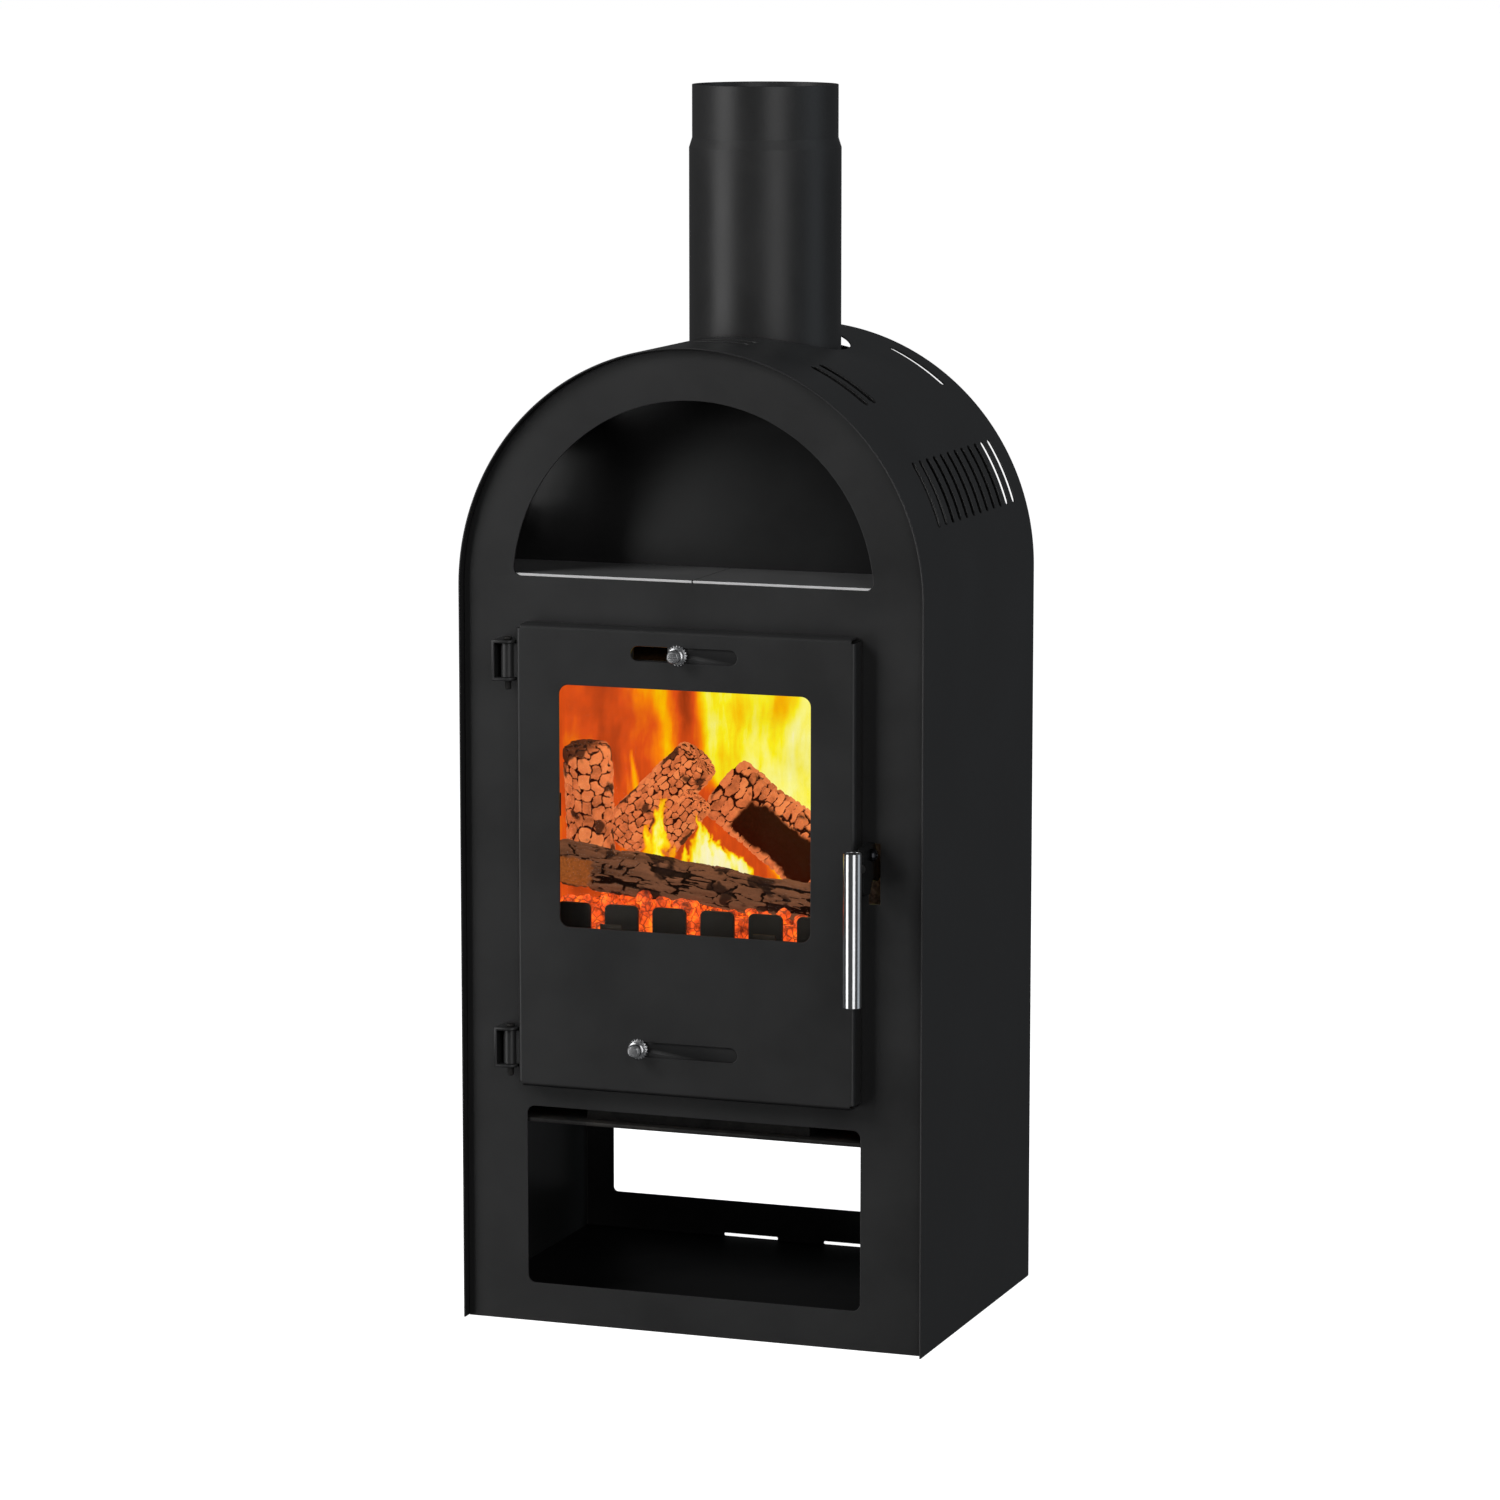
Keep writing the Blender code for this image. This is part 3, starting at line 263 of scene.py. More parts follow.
def upright(setback):
    """A plate drawn in X and Z that stands across the stove, its middle at that setback."""
    return lambda x, y, z: (x, y_at(setback) - z, y)


def level_at(height):
    """A plate drawn in X and Y that lies flat, its middle at that height."""
    return lambda x, y, z: (x, y, height + z)


def turned_mesh(profile, place, axis="up", steps=96, ring=False):
    """A turned piece from (radius, height) points; a ring's profile is closed, for a piece with a bore."""
    turn = {
        "up": Matrix.Identity(3),
        "front": Matrix(((1, 0, 0), (0, 0, -1), (0, 1, 0))),
        "right": Matrix(((0, 0, 1), (0, 1, 0), (-1, 0, 0))),
    }[axis]
    shape = bmesh.new()
    rows = []
    for radius, height in profile:
        if radius < 1e-9:
            rows.append([shape.verts.new(turn @ Vector((0, 0, height)))])
            continue
        rows.append([shape.verts.new(turn @ Vector((x, y, height))) for x, y in circle(radius, steps)])
    pairs = list(zip(rows, rows[1:]))
    if ring:
        pairs.append((rows[-1], rows[0]))
    for upper, lower in pairs:
        for i in range(steps):
            j = (i + 1) % steps
            corners = [row[k % len(row)] for row, k in ((upper, i), (lower, i), (lower, j), (upper, j))]
            shape.faces.new(list(dict.fromkeys(corners)))
    bmesh.ops.recalc_face_normals(shape, faces=shape.faces)
    for vert in shape.verts:
        vert.co += Vector(place)
    mesh = bpy.data.meshes.new("turned")
    shape.to_mesh(mesh)
    shape.free()
    return mesh


def refine(node, width=0.0005, segments=2):
    """Rounds the edges of a CAD piece that stays in view."""
    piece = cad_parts[node]
    weld = piece.modifiers.new("weld", "WELD")
    weld.merge_threshold = 1e-6
    edge = piece.modifiers.new("edge", "BEVEL")
    edge.width = width
    edge.segments = segments
    edge.limit_method = "ANGLE"
    edge.angle_limit = radians(32)
    edge.harden_normals = True
    piece.data.shade_smooth()
    return piece


# ---------------------------------------------------------------- node graphs
def add(tree, kind, sockets=None, **settings):
    """A shader node with its settings; a socket takes a value, or another node's output to link."""
    made = tree.nodes.new("ShaderNode" + kind)
    for key, value in settings.items():
        setattr(made, key, value)
    for key, value in (sockets or {}).items():
        if isinstance(value, bpy.types.NodeSocket):
            tree.links.new(value, made.inputs[key])
        else:
            made.inputs[key].default_value = value
    return made


def place_of(tree, scale=(1, 1, 1)):
    """Object coordinates, stretched."""
    where = add(tree, "TexCoord").outputs["Object"]
    return add(tree, "Mapping", {"Vector": where, "Scale": scale}).outputs[0]


def noise_of(tree, where, scale, detail=4.0, rough=0.55, warp=0.0):
    sockets = {"Vector": where, "Scale": scale, "Detail": detail, "Roughness": rough, "Distortion": warp}
    return add(tree, "TexNoise", sockets).outputs["Fac"]


def ramp(tree, factor, stops):
    """A colour ramp; each stop is (position, colour or grey level)."""
    made = add(tree, "ValToRGB", {"Fac": factor})
    elements = made.color_ramp.elements
    while len(elements) < len(stops):
        elements.new(0.5)
    for element, (position, colour) in zip(elements, stops):
        element.position = position
        element.color = (*colour, 1) if isinstance(colour, tuple) else (colour, colour, colour, 1)
    return made.outputs["Color"]


def sums(tree, operation, a, b, c=None):
    sockets = {0: a, 1: b}
    if c is not None:
        sockets[2] = c
    return add(tree, "Math", sockets, operation=operation).outputs[0]


def blend_colours(tree, factor, a, b, mode="MIX"):
    made = tree.nodes.new("ShaderNodeMix")
    made.data_type = "RGBA"
    made.blend_type = mode
    for key, kind, value in (("Factor", "VALUE", factor), ("A", "RGBA", a), ("B", "RGBA", b)):
        socket = [s for s in made.inputs if s.name == key and s.type == kind][0]
        if isinstance(value, bpy.types.NodeSocket):
            tree.links.new(value, socket)
        else:
            socket.default_value = (*value, 1) if isinstance(value, tuple) else value
    return [s for s in made.outputs if s.type == "RGBA"][0]


def bumps(tree, height, distance, strength=1.0, under=None):
    sockets = {"Height": height, "Distance": distance, "Strength": strength}
    if under is not None:
        sockets["Normal"] = under
    return add(tree, "Bump", sockets).outputs[0]


def new_material(name, **constants):
    """A Principled material; an underscore in a socket's name stands for a space."""
    material = bpy.data.materials.new(name)
    material.use_nodes = True
    shader = material.node_tree.nodes["Principled BSDF"]
    for key, value in constants.items():
        shader.inputs[key.replace("_", " ")].default_value = value
    return material, material.node_tree, shader


def wire(shader, **outputs):
    """Links node outputs to the shader's sockets, named as in new_material."""
    for key, output in outputs.items():
        shader.id_data.links.new(output, shader.inputs[key.replace("_", " ")])


# ---------------------------------------------------------------- materials
def coat_material(name, tone=0.026, gloss=0.38, level=0.5):
    """Matt stove paint: fine grain, faint cloudiness in tone and gloss, and an orange-peel surface."""
    material, tree, shader = new_material(name, Specular_IOR_Level=level)
    where = place_of(tree)
    grain = noise_of(tree, where, 2600, 2, 0.6)
    cloud = noise_of(tree, where, 9, 4, 0.55)
    shade = sums(tree, "MULTIPLY_ADD", grain, 0.5, sums(tree, "MULTIPLY", cloud, 0.5))
    dark, light = tone * 0.72, tone * 1.3
    colours = ramp(tree, shade, [(0.32, (dark, dark, dark * 1.01)), (0.68, (light, light, light * 1.01))])
    wire(shader, Base_Color=colours)
    worn = ramp(tree, cloud, [(0.3, gloss - 0.05), (0.7, gloss + 0.05)])
    wire(shader, Roughness=worn)
    peel = bumps(tree, noise_of(tree, where, 900, 3, 0.5), 0.00006, 0.5)
    wire(shader, Normal=bumps(tree, grain, 0.00003, 0.5, peel))
    return material


def soot_material(name, bare=0.035, gloss=0.62):
    """Mill-scaled steel that the fire has darkened: cloudy, with grey ash in places."""
    material, tree, shader = new_material(name, Metallic=0.55)
    where = place_of(tree)
    cloud = noise_of(tree, where, 24, 7, 0.62, 0.4)
    grain = noise_of(tree, where, 700, 3, 0.6)
    colours = ramp(tree, cloud, [
        (0.3, (bare * 0.35,) * 3),
        (0.52, (bare, bare * 0.96, bare * 0.92)),
        (0.75, (bare * 2, bare * 1.8, bare * 1.6)),
    ])
    specks = ramp(tree, grain, [(0.58, 0.0), (0.75, 0.5)])
    speckled = blend_colours(tree, specks, colours, (0.004, 0.004, 0.004))
    wire(shader, Base_Color=speckled)
    wire(shader, Roughness=ramp(tree, cloud, [(0.3, gloss + 0.2), (0.7, gloss - 0.08)]))
    coarse = bumps(tree, cloud, 0.0006, 0.35)
    wire(shader, Normal=bumps(tree, grain, 0.0001, 0.5, coarse))
    return material


def steel_material(name, axis, colour=(0.62, 0.625, 0.635), gloss=0.13):
    """Polished steel with fine rings across its height ("around") or lines along x."""
    material, tree, shader = new_material(name, Metallic=1.0)
    stretch = {"x": (1, 60, 60), "around": (2, 2, 120)}[axis]
    lines = noise_of(tree, place_of(tree, stretch), 22, 3, 0.6)
    cloud = noise_of(tree, place_of(tree), 60, 3, 0.5)
    light = tuple(min(1.0, c * 1.12) for c in colour)
    wire(shader, Base_Color=ramp(tree, cloud, [(0.3, colour), (0.7, light)]))
    wire(shader, Roughness=ramp(tree, lines, [(0.3, gloss * 0.7), (0.7, gloss * 1.5)]))
    wire(shader, Normal=bumps(tree, lines, 0.000003, 0.1))
    return material


def plastic_material(name):
    """Black plastic with a fine, satin grain."""
    material, tree, shader = new_material(name)
    grain = noise_of(tree, place_of(tree), 1500, 3, 0.6)
    wire(shader, Base_Color=ramp(tree, grain, [(0.3, 0.008), (0.7, 0.02)]))
    wire(shader, Roughness=ramp(tree, grain, [(0.3, 0.42), (0.7, 0.55)]))
    wire(shader, Normal=bumps(tree, grain, 0.00004, 0.6))
    return material


def iron_material(name):
    """Raw cast iron dusted with ash."""
    material, tree, shader = new_material(name, Metallic=0.4)
    where = place_of(tree)
    skin = noise_of(tree, where, 320, 5, 0.7)
    ash = noise_of(tree, where, 30, 5, 0.6)
    iron = ramp(tree, skin, [(0.3, (0.02, 0.017, 0.015)), (0.7, (0.07, 0.06, 0.052))])
    dusted = blend_colours(tree, ramp(tree, ash, [(0.5, 0.0), (0.7, 0.75)]), iron, (0.3, 0.27, 0.24))
    wire(shader, Base_Color=dusted)
    wire(shader, Roughness=ramp(tree, ash, [(0.4, 0.6), (0.7, 0.95)]))
    wire(shader, Normal=bumps(tree, skin, 0.0005, 0.8))
    return material


def brick_material(name):
    """Pressed vermiculite: flecks of golden mica in tan board, nearly black with soot."""
    material, tree, shader = new_material(name)
    where = place_of(tree)
    cells = add(tree, "TexVoronoi", {"Vector": where, "Scale": 420.0, "Randomness": 1.0}).outputs["Color"]
    fleck = ramp(tree, cells, [
        (0.15, (0.16, 0.11, 0.06)),
        (0.5, (0.42, 0.31, 0.18)),
        (0.9, (0.66, 0.52, 0.3)),
    ])
    cloud = noise_of(tree, where, 13, 6, 0.6, 0.5)
    soot = ramp(tree, cloud, [(0.25, 0.72), (0.55, 0.97)])
    sooted = blend_colours(tree, soot, fleck, (0.010, 0.008, 0.007))
    wire(shader, Base_Color=sooted)
    wire(shader, Roughness=ramp(tree, cells, [(0.2, 0.95), (0.9, 0.7)]))
    pits = noise_of(tree, where, 260, 5, 0.7)
    wire(shader, Normal=bumps(tree, pits, 0.0012, 0.7))
    return material


def braid_material(name):
    """Braided glass fibre; the mesh carries how far round and along the rope each point is."""
    material, tree, shader = new_material(name, Roughness=0.92)
    along = add(tree, "Attribute", attribute_name="along").outputs["Fac"]
    round_it = add(tree, "Attribute", attribute_name="round").outputs["Fac"]
    strands = []
    for sign in (1, -1):
        phase = sums(tree, "MULTIPLY_ADD", round_it, ROPE_STRANDS * sign, along)
        strands.append(sums(tree, "SINE", sums(tree, "MULTIPLY", phase, 2 * pi), 0.0))
    weave = sums(tree, "MAXIMUM", *strands)
    fuzz = noise_of(tree, place_of(tree), 1400, 4, 0.7)
    # the braid is much darker in the hollows between strands and lighter on their crests: painted shade
    colours = ramp(tree, weave, [
        (0.0, (0.012, 0.012, 0.012)),
        (0.8, (0.11, 0.108, 0.104)),
        (1.0, (0.2, 0.195, 0.19)),
    ])
    wire(shader, Base_Color=blend_colours(tree, 0.35, colours, ramp(tree, fuzz, [(0.3, 0.02), (0.7, 0.2)])))
    knit = bumps(tree, weave, 0.0007, 0.8)
    wire(shader, Normal=bumps(tree, fuzz, 0.0003, 0.6, knit))
    return material


def tape_material(name):
    """The flat woven tape under the glass."""
    material, tree, shader = new_material(name, Roughness=0.95)
    threads = noise_of(tree, place_of(tree), 900, 3, 0.6)
    weave = add(tree, "TexWave", {"Vector": place_of(tree), "Scale": 330.0, "Distortion": 1.5}).outputs["Fac"]
    both = sums(tree, "MULTIPLY", weave, threads)
    # darker in the hollows of the weave, lighter on its ridges: painted shade
    wire(shader, Base_Color=ramp(tree, both, [(0.05, (0.015, 0.015, 0.015)), (0.6, (0.14, 0.138, 0.13))]))
    wire(shader, Normal=bumps(tree, both, 0.0004, 0.8))
    return material


def glass_material(name):
    """Clear ceramic glass: what is behind it shows, with a weak reflection that grows towards the edges."""
    material = bpy.data.materials.new(name)
    material.use_nodes = True
    tree = material.node_tree
    tree.nodes.clear()
    smear = noise_of(tree, place_of(tree), 14, 5, 0.6)
    tint = ramp(tree, smear, [(0.35, (0.97, 0.95, 0.92)), (0.75, (0.9, 0.87, 0.83))])
    through = add(tree, "BsdfTransparent", {"Color": tint})
    shine = add(tree, "BsdfGlossy", {"Roughness": ramp(tree, smear, [(0.3, 0.02), (0.8, 0.12)])})
    facing = add(tree, "Fresnel", {"IOR": 1.07})
    both = add(tree, "MixShader", {0: facing.outputs[0], 1: through.outputs[0], 2: shine.outputs[0]})
    out = add(tree, "OutputMaterial")
    tree.links.new(both.outputs[0], out.inputs["Surface"])
    return material


def char_material(name, tops, cracks, glow, bare, flow=0.35):
    """Burning wood; the mesh carries cracks, a tone for each block, heat, charred and bare patches. Its
    emission is partly the char's own glow and partly painted firelight on the block tops and bark; the cracks
    get none, a painted shade.
    """
    constants = {"Roughness": 0.9, "Specular_IOR_Level": 0.12, "Emission_Strength": glow}
    material, tree, shader = new_material(name, **constants)
    carried = {}
    for key in ("crack", "tone", "heat", "char", "bare", "streak"):
        carried[key] = add(tree, "Attribute", attribute_name=key).outputs["Fac"]
    where = place_of(tree)
    fine = noise_of(tree, where, 420, 6, 0.65)
    mixed = sums(tree, "MULTIPLY_ADD", carried["tone"], 0.65 - flow, sums(tree, "MULTIPLY", fine, 0.35))
    mixed = sums(tree, "MULTIPLY_ADD", carried["streak"], flow, mixed)
    block = ramp(tree, mixed, [
        (0.22, tuple(c * 0.45 for c in tops)),
        (0.48, tops),
        (0.78, tuple(min(1.0, c * 1.5) for c in tops)),
    ])
    depth = sums(tree, "MULTIPLY_ADD", fine, 0.35, sums(tree, "SUBTRACT", carried["crack"], 0.17))
    colours = blend_colours(tree, ramp(tree, depth, [(0.26, 0.0), (0.56, 1.0)]), cracks, block)
    charred = sums(tree, "MULTIPLY", carried["char"], 0.9)
    colours = blend_colours(tree, charred, colours, (0.018, 0.008, 0.006))
    bark = ramp(tree, fine, [(0.3, tuple(c * 0.6 for c in bare)), (0.7, tuple(c * 1.5 for c in bare))])
    colours = blend_colours(tree, carried["bare"], colours, bark)
    wire(shader, Base_Color=blend_colours(tree, 0.8, colours, (0.012, 0.008, 0.006)))
    # emission from heat: partly the char's own glow, partly painted firelight, also on the front log's bark
    glow_and_painted_firelight = ramp(tree, carried["heat"], [(0.0, 0.12), (0.5, 0.55), (1.0, 1.0)])
    wire(shader, Emission_Color=blend_colours(tree, 1.0, colours, glow_and_painted_firelight, "MULTIPLY"))
    wire(shader, Normal=bumps(tree, fine, 0.0009, 0.7))
    return material


def ember_material(name):
    """Glowing coals, darker along their cracks; the mesh carries each coal's heat."""
    material, tree, shader = new_material(name, Roughness=0.95, Emission_Strength=2.6)
    where = place_of(tree)
    cells = add(tree, "TexVoronoi", {"Vector": where, "Scale": 130.0}, feature="DISTANCE_TO_EDGE")
    cells = cells.outputs["Distance"]
    heat = add(tree, "Attribute", attribute_name="heat").outputs["Fac"]
    patch = noise_of(tree, where, 75, 5, 0.6)
    hot = sums(tree, "MULTIPLY_ADD", patch, 0.6, sums(tree, "MULTIPLY", heat, 0.6))
    colours = ramp(tree, hot, [
        (0.20, (0.05, 0.006, 0.002)),
        (0.32, (0.45, 0.045, 0.006)),
        (0.48, (0.90, 0.190, 0.008)),
        (0.64, (1.00, 0.450, 0.010)),
        (0.84, (1.00, 0.850, 0.060)),
    ])
    shaded = blend_colours(tree, ramp(tree, cells, [(0.0, 0.0), (0.09, 1.0)]), (0.06, 0.008, 0.004), colours)
    wire(shader, Base_Color=ramp(tree, patch, [(0.3, (0.02, 0.012, 0.01)), (0.7, (0.14, 0.08, 0.06))]))
    wire(shader, Emission_Color=shaded)
    wire(shader, Normal=bumps(tree, patch, 0.002, 0.7))
    return material


def floor_material(name):
    material, tree, shader = new_material(
        name, Roughness=0.8, Emission_Color=(1, 1, 1, 1), Emission_Strength=1.0
    )
    cloud = noise_of(tree, place_of(tree), 1.5, 3, 0.5)
    wire(shader, Base_Color=ramp(tree, cloud, [(0.3, (0.9, 0.9, 0.9)), (0.7, (0.93, 0.93, 0.93))]))
    return material


def paint(piece, material):
    piece.data.materials.clear()
    piece.data.materials.append(material)
    return piece


# ---------------------------------------------------------------- case
def make_outer_shell():
    """The case's sheet is cut flat with its slots, then bent round the arch."""
    middle = CASE_HALF - SHEET / 2
    quarter = middle * pi / 2
    reach = quarter + ARCH_CENTRE_Z
    loops = [[(reach, 0), (reach, CASE_DEPTH), (-reach, CASE_DEPTH), (-reach, 0)]]
    half_slot = middle * radians(SLOT_SPAN / 2)
    for angle, setback, width in ARCH_SLOTS:
        loops.append(stadium(half_slot, width / 2, (middle * radians(angle), setback), 8))
    hole = circle(FLUE_HOLE_RADIUS, 96)
    flue_setback = PIPE_Y - FRONT_Y
    loops.append([(middle * asin(x / middle), flue_setback + y) for x, y in hole])
    shape = flat_plate(loops, SHEET, 0.0008)
    cut_at(shape, [quarter * i / 72 for i in range(-72, 73)], "x")

    def bend(along, back, out):
        if abs(along) <= quarter + 1e-6:
            turn = along / middle
            return ((middle + out) * sin(turn), FRONT_Y + back, ARCH_CENTRE_Z + (middle + out) * cos(turn))
        side = 1 if along > 0 else -1
        return (side * (middle + out), FRONT_Y + back, ARCH_CENTRE_Z - (abs(along) - quarter))

    piece = show("case_sheet", reshape(shape, bend), "stove", ["outer_shell"])
    return even_normals(piece)


def niche_outline():
    corner = 0.008
    corner_z = NICHE_FLOOR_Z + corner
    corner_x = sqrt((NICHE_RADIUS - corner) ** 2 - (corner_z - NICHE_CENTRE_Z) ** 2)
    lift = asin((corner_z - NICHE_CENTRE_Z) / (NICHE_RADIUS - corner)) * 180 / pi
    top = arc((0, NICHE_CENTRE_Z), NICHE_RADIUS, lift, 180 - lift, 120)
    left = arc((-corner_x, corner_z), corner, 180 - lift, 270, 8)
    right = arc((corner_x, corner_z), corner, 270, 360 + lift, 8)
    return top + left[1:] + right[:-1]


def box_loop(half, bottom, top, radius):
    return rounded_box(-half, half, bottom, top, radius)


def make_front_panel():
    half = PANEL_HIGH.x
    outline = [(half, 0)] + arc((0, ARCH_CENTRE_Z), half, 0, 180, 144) + [(-half, 0)]
    left, right, bottom, top = LATCH_SLOT
    loops = [
        outline,
        niche_outline(),
        box_loop(*FIRE_OPENING, 0.006),
        box_loop(*STORE, 0.008),
        rounded_box(left, right, bottom, top, 0.001, 2),
    ]
    middle = (PANEL_LOW.y + PANEL_HIGH.y) / 2 - FRONT_Y
    return sheet_piece("face_sheet", "stove", "black_paint", "front_panel", loops, SHEET, upright(middle))


def make_rear_panel():
    half = REAR_HIGH.x
    outline = [(half, 0), (half, ARCH_CENTRE_Z)]
    outline += arc((0, ARCH_CENTRE_Z), REAR_ARCH_RADIUS, 0, 180, 120)
    outline += [(-half, ARCH_CENTRE_Z), (-half, 0)]
    slots = [rounded_box(left, left + 0.061, 0.0213, 0.0245, 0.0015, 3) for left in (-0.087, 0.026)]
    middle = (REAR_LOW.y + REAR_HIGH.y) / 2 - FRONT_Y
    loops = [outline, box_loop(*REAR_WINDOW, 0.005), *slots]
    return sheet_piece("back_sheet", "stove", "black_paint", "rear_panel", loops, SHEET, upright(middle))


def make_niche_shelves():
    """Two loose plates that meet over a hairline slit; their front edges are bare cut steel."""
    for side in ("left", "right"):
        node = f"niche_shelf_{side}"
        low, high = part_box(node)
        loop = rounded_box(low.x, high.x, low.y, high.y, 0.0006, 2)
        name, place = f"shelf_{side}_plate", level_at((low.z + high.z) / 2)
        yield sheet_piece(name, "stove", "dark_steel", node, [loop], high.z - low.z, place, 0.0003)


def make_flue():
    top, low = PIPE_HIGH.z, PIPE_LOW.z
    outer = (PIPE_HIGH.x - PIPE_LOW.x) / 2
    spigot = outer - SPIGOT_STEP
    neck = top - SPIGOT_HEIGHT
    outside = [(spigot, top), (spigot, neck), (outer, neck - SHOULDER_HEIGHT), (outer, low)]
    profile = outside + [(radius - PIPE_WALL, height) for radius, height in outside[::-1]]
    rounded = soften(profile, 0.0006, 3, closed=True)
    mesh = turned_mesh(rounded, (0, PIPE_Y, 0), steps=192, ring=True)
    return show("flue_tube", mesh, "stove", ["flue_pipe"], 50)


def make_log_guard():
    low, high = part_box("log_guard")
    tab_width, tab_pitch, tab_count, shoulder = 0.0363, 0.0514, 6, 0.006
    root_z = low.z + 0.018
    outline = [(high.x, low.z), (low.x, low.z)]
    for number in range(tab_count):
        left = low.x + number * tab_pitch
        right = left + tab_width
        if number:
            outline.append((left, root_z))
        outline += arc((left + shoulder, high.z - shoulder), shoulder, 180, 90, 8)
        outline += arc((right - shoulder, high.z - shoulder), shoulder, 90, 0, 8)
        if number < tab_count - 1:
            outline.append((right, root_z))
    plate = [outline], high.y - low.y, upright((low.y + high.y) / 2 - FRONT_Y), 0.0005
    return sheet_piece("log_guard_comb", "stove", "dark_steel", "log_guard", *plate)


# ---------------------------------------------------------------- door
def make_door_panel():
    """The door is cut flat as a cross and folded back on its four sides; the corners stay open."""
    half_x = DOOR_HIGH.x
    middle_z = (DOOR_LOW.z + DOOR_HIGH.z) / 2
    half_z = (DOOR_HIGH.z - DOOR_LOW.z) / 2
    depth = DOOR_HIGH.y - DOOR_LOW.y
    bend = FOLD_RADIUS
    mid = bend - SHEET / 2
    quarter = mid * pi / 2
    flap = quarter + depth - bend

    def ends(half):
        return half - DOOR_NOTCH, half - bend + flap

    (ax, fx), (az, fz) = ends(half_x), ends(half_z)
    corner = [(fx, az), (ax, az), (ax, fz)]
    outline = corner + [(-x, z) for x, z in corner[::-1]]
    outline += [(-x, -z) for x, z in corner] + [(x, -z) for x, z in corner[::-1]]
    half_width, bottom, top = WINDOW
    loops = [
        outline,
        rounded_box(-half_width, half_width, bottom - middle_z, top - middle_z, 0.010, 12),
        stadium(*AIR_SLOT, (0, UPPER_SLOT_Z - middle_z)),
        stadium(*AIR_SLOT, (0, LOWER_SLOT_Z - middle_z)),
    ]
    shape = flat_plate(loops, SHEET)
    for half, axis in ((half_x, "x"), (half_z, "y")):
        flat = half - bend
        cut_at(shape, [side * (flat + quarter * i / 8) for side in (-1, 1) for i in range(9)], axis)

    def fold(along, half, out):
        """How far across and how deep a point of the flat sheet ends up."""
        flat = half - bend
        side = 1 if along > 0 else -1
        past = abs(along) - flat
        if past <= 0:
            return along, SHEET / 2 - out
        if past <= quarter:
            turn = past / mid
            return side * (flat + (mid + out) * sin(turn)), bend - (mid + out) * cos(turn)
        return side * (flat + mid + out), bend + past - quarter

    def place(x, z, out):
        across, depth_x = fold(x, half_x, out)
        up, depth_z = fold(z, half_z, out)
        return (across, DOOR_LOW.y + depth_x + depth_z - (SHEET / 2 - out), middle_z + up)

    piece = show("door_sheet", reshape(shape, place), "door", ["door_panel"])
    return even_normals(piece)


def make_rope_seal():
    """A braided rope laid round the back of the door; each point knows how far along and round it is."""
    low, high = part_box("door_rope_seal")
    radius = (high.y - low.y) / 2
    path = rounded_box(low.x + radius, high.x - radius, low.z + radius, high.z - radius, 0.012, 8)
    points = evenly(path + path[:1], 0.0015)[:-1]
    count, sides = len(points), 24
    ring = zip(points, points[1:] + points[:1])
    total = sum(sqrt((a[0] - b[0]) ** 2 + (a[1] - b[1]) ** 2) for a, b in ring)
    turns = round(total / 0.006)
    verts, along, round_it = [], [], []
    length = 0.0
    for i, (x, z) in enumerate(points):
        before, after = points[i - 1], points[(i + 1) % count]
        heading = Vector((after[0] - before[0], after[1] - before[1])).normalized()
        outward = Vector((heading.y, -heading.x))
        share = length / total
        for k in range(sides):
            angle = 2 * pi * k / sides
            lumps = max(sin(2 * pi * (turns * share + way * ROPE_STRANDS * k / sides)) for way in (1, -1))
            thick = radius * (0.955 + 0.045 * lumps)
            across = outward * (thick * cos(angle))
            verts.append((x + across.x, (low.y + high.y) / 2 + thick * sin(angle), z + across.y))
            along.append(turns * share)
            round_it.append(k / sides)
        step = Vector(after) - Vector((x, z))
        length += step.length
    faces = []
    for i in range(count):
        for k in range(sides):
            n, m = (i + 1) % count, (k + 1) % sides
            faces.append((i * sides + k, i * sides + m, n * sides + m, n * sides + k))
    mesh = bpy.data.meshes.new("rope")
    mesh.from_pydata(verts, [], faces)
    give_values(mesh, {"along": along, "round": round_it})
    face_outward(mesh)
    return show("rope_seal", mesh, "door", ["door_rope_seal"], 80)


def make_hinge_leaf(which):
    """A strap rolled round the hinge pin."""
    node = f"hinge_leaf_{which}"
    low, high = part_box(node)
    pin_low, pin_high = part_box(f"hinge_pin_{which}")
    pin_x, pin_y = (pin_low.x + pin_high.x) / 2, (pin_low.y + pin_high.y) / 2
    radius, strap = HINGE_RADIUS, HINGE_STRAP
    outline = arc((pin_x, pin_y), radius, 340, 40, 40)
    outline += [
        (high.x - strap, pin_y + radius * sin(radians(40))),
        (high.x - strap, high.y),
        (high.x, high.y),
        (high.x, pin_y + radius * sin(radians(340))),
    ]
    bore = arc((pin_x, pin_y), HINGE_BORE, 0, 352, 43)
    plate = [outline, bore], high.z - low.z, level_at((low.z + high.z) / 2), 0.0005
    return sheet_piece(f"hinge_knuckle_{which}", "door", "black_paint", node, *plate)


def make_hinge_pin(which):
    node = f"hinge_pin_{which}"
    low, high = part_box(node)
    x, y = (low.x + high.x) / 2, (low.y + high.y) / 2
    head, stem = (high.x - low.x) / 2, PIN_RADIUS
    profile = [
        (0, high.z), (head - 0.0003, high.z - 0.0002), (head, high.z - 0.0028), (stem, high.z - 0.003),
        (stem, low.z + 0.001), (stem - 0.001, low.z), (0, low.z),
    ]
    mesh = turned_mesh(soften(profile, 0.0006, 4), (x, y, 0), steps=48)
    return show(f"hinge_pin_{which}_turned", mesh, "stove", [node], 50)


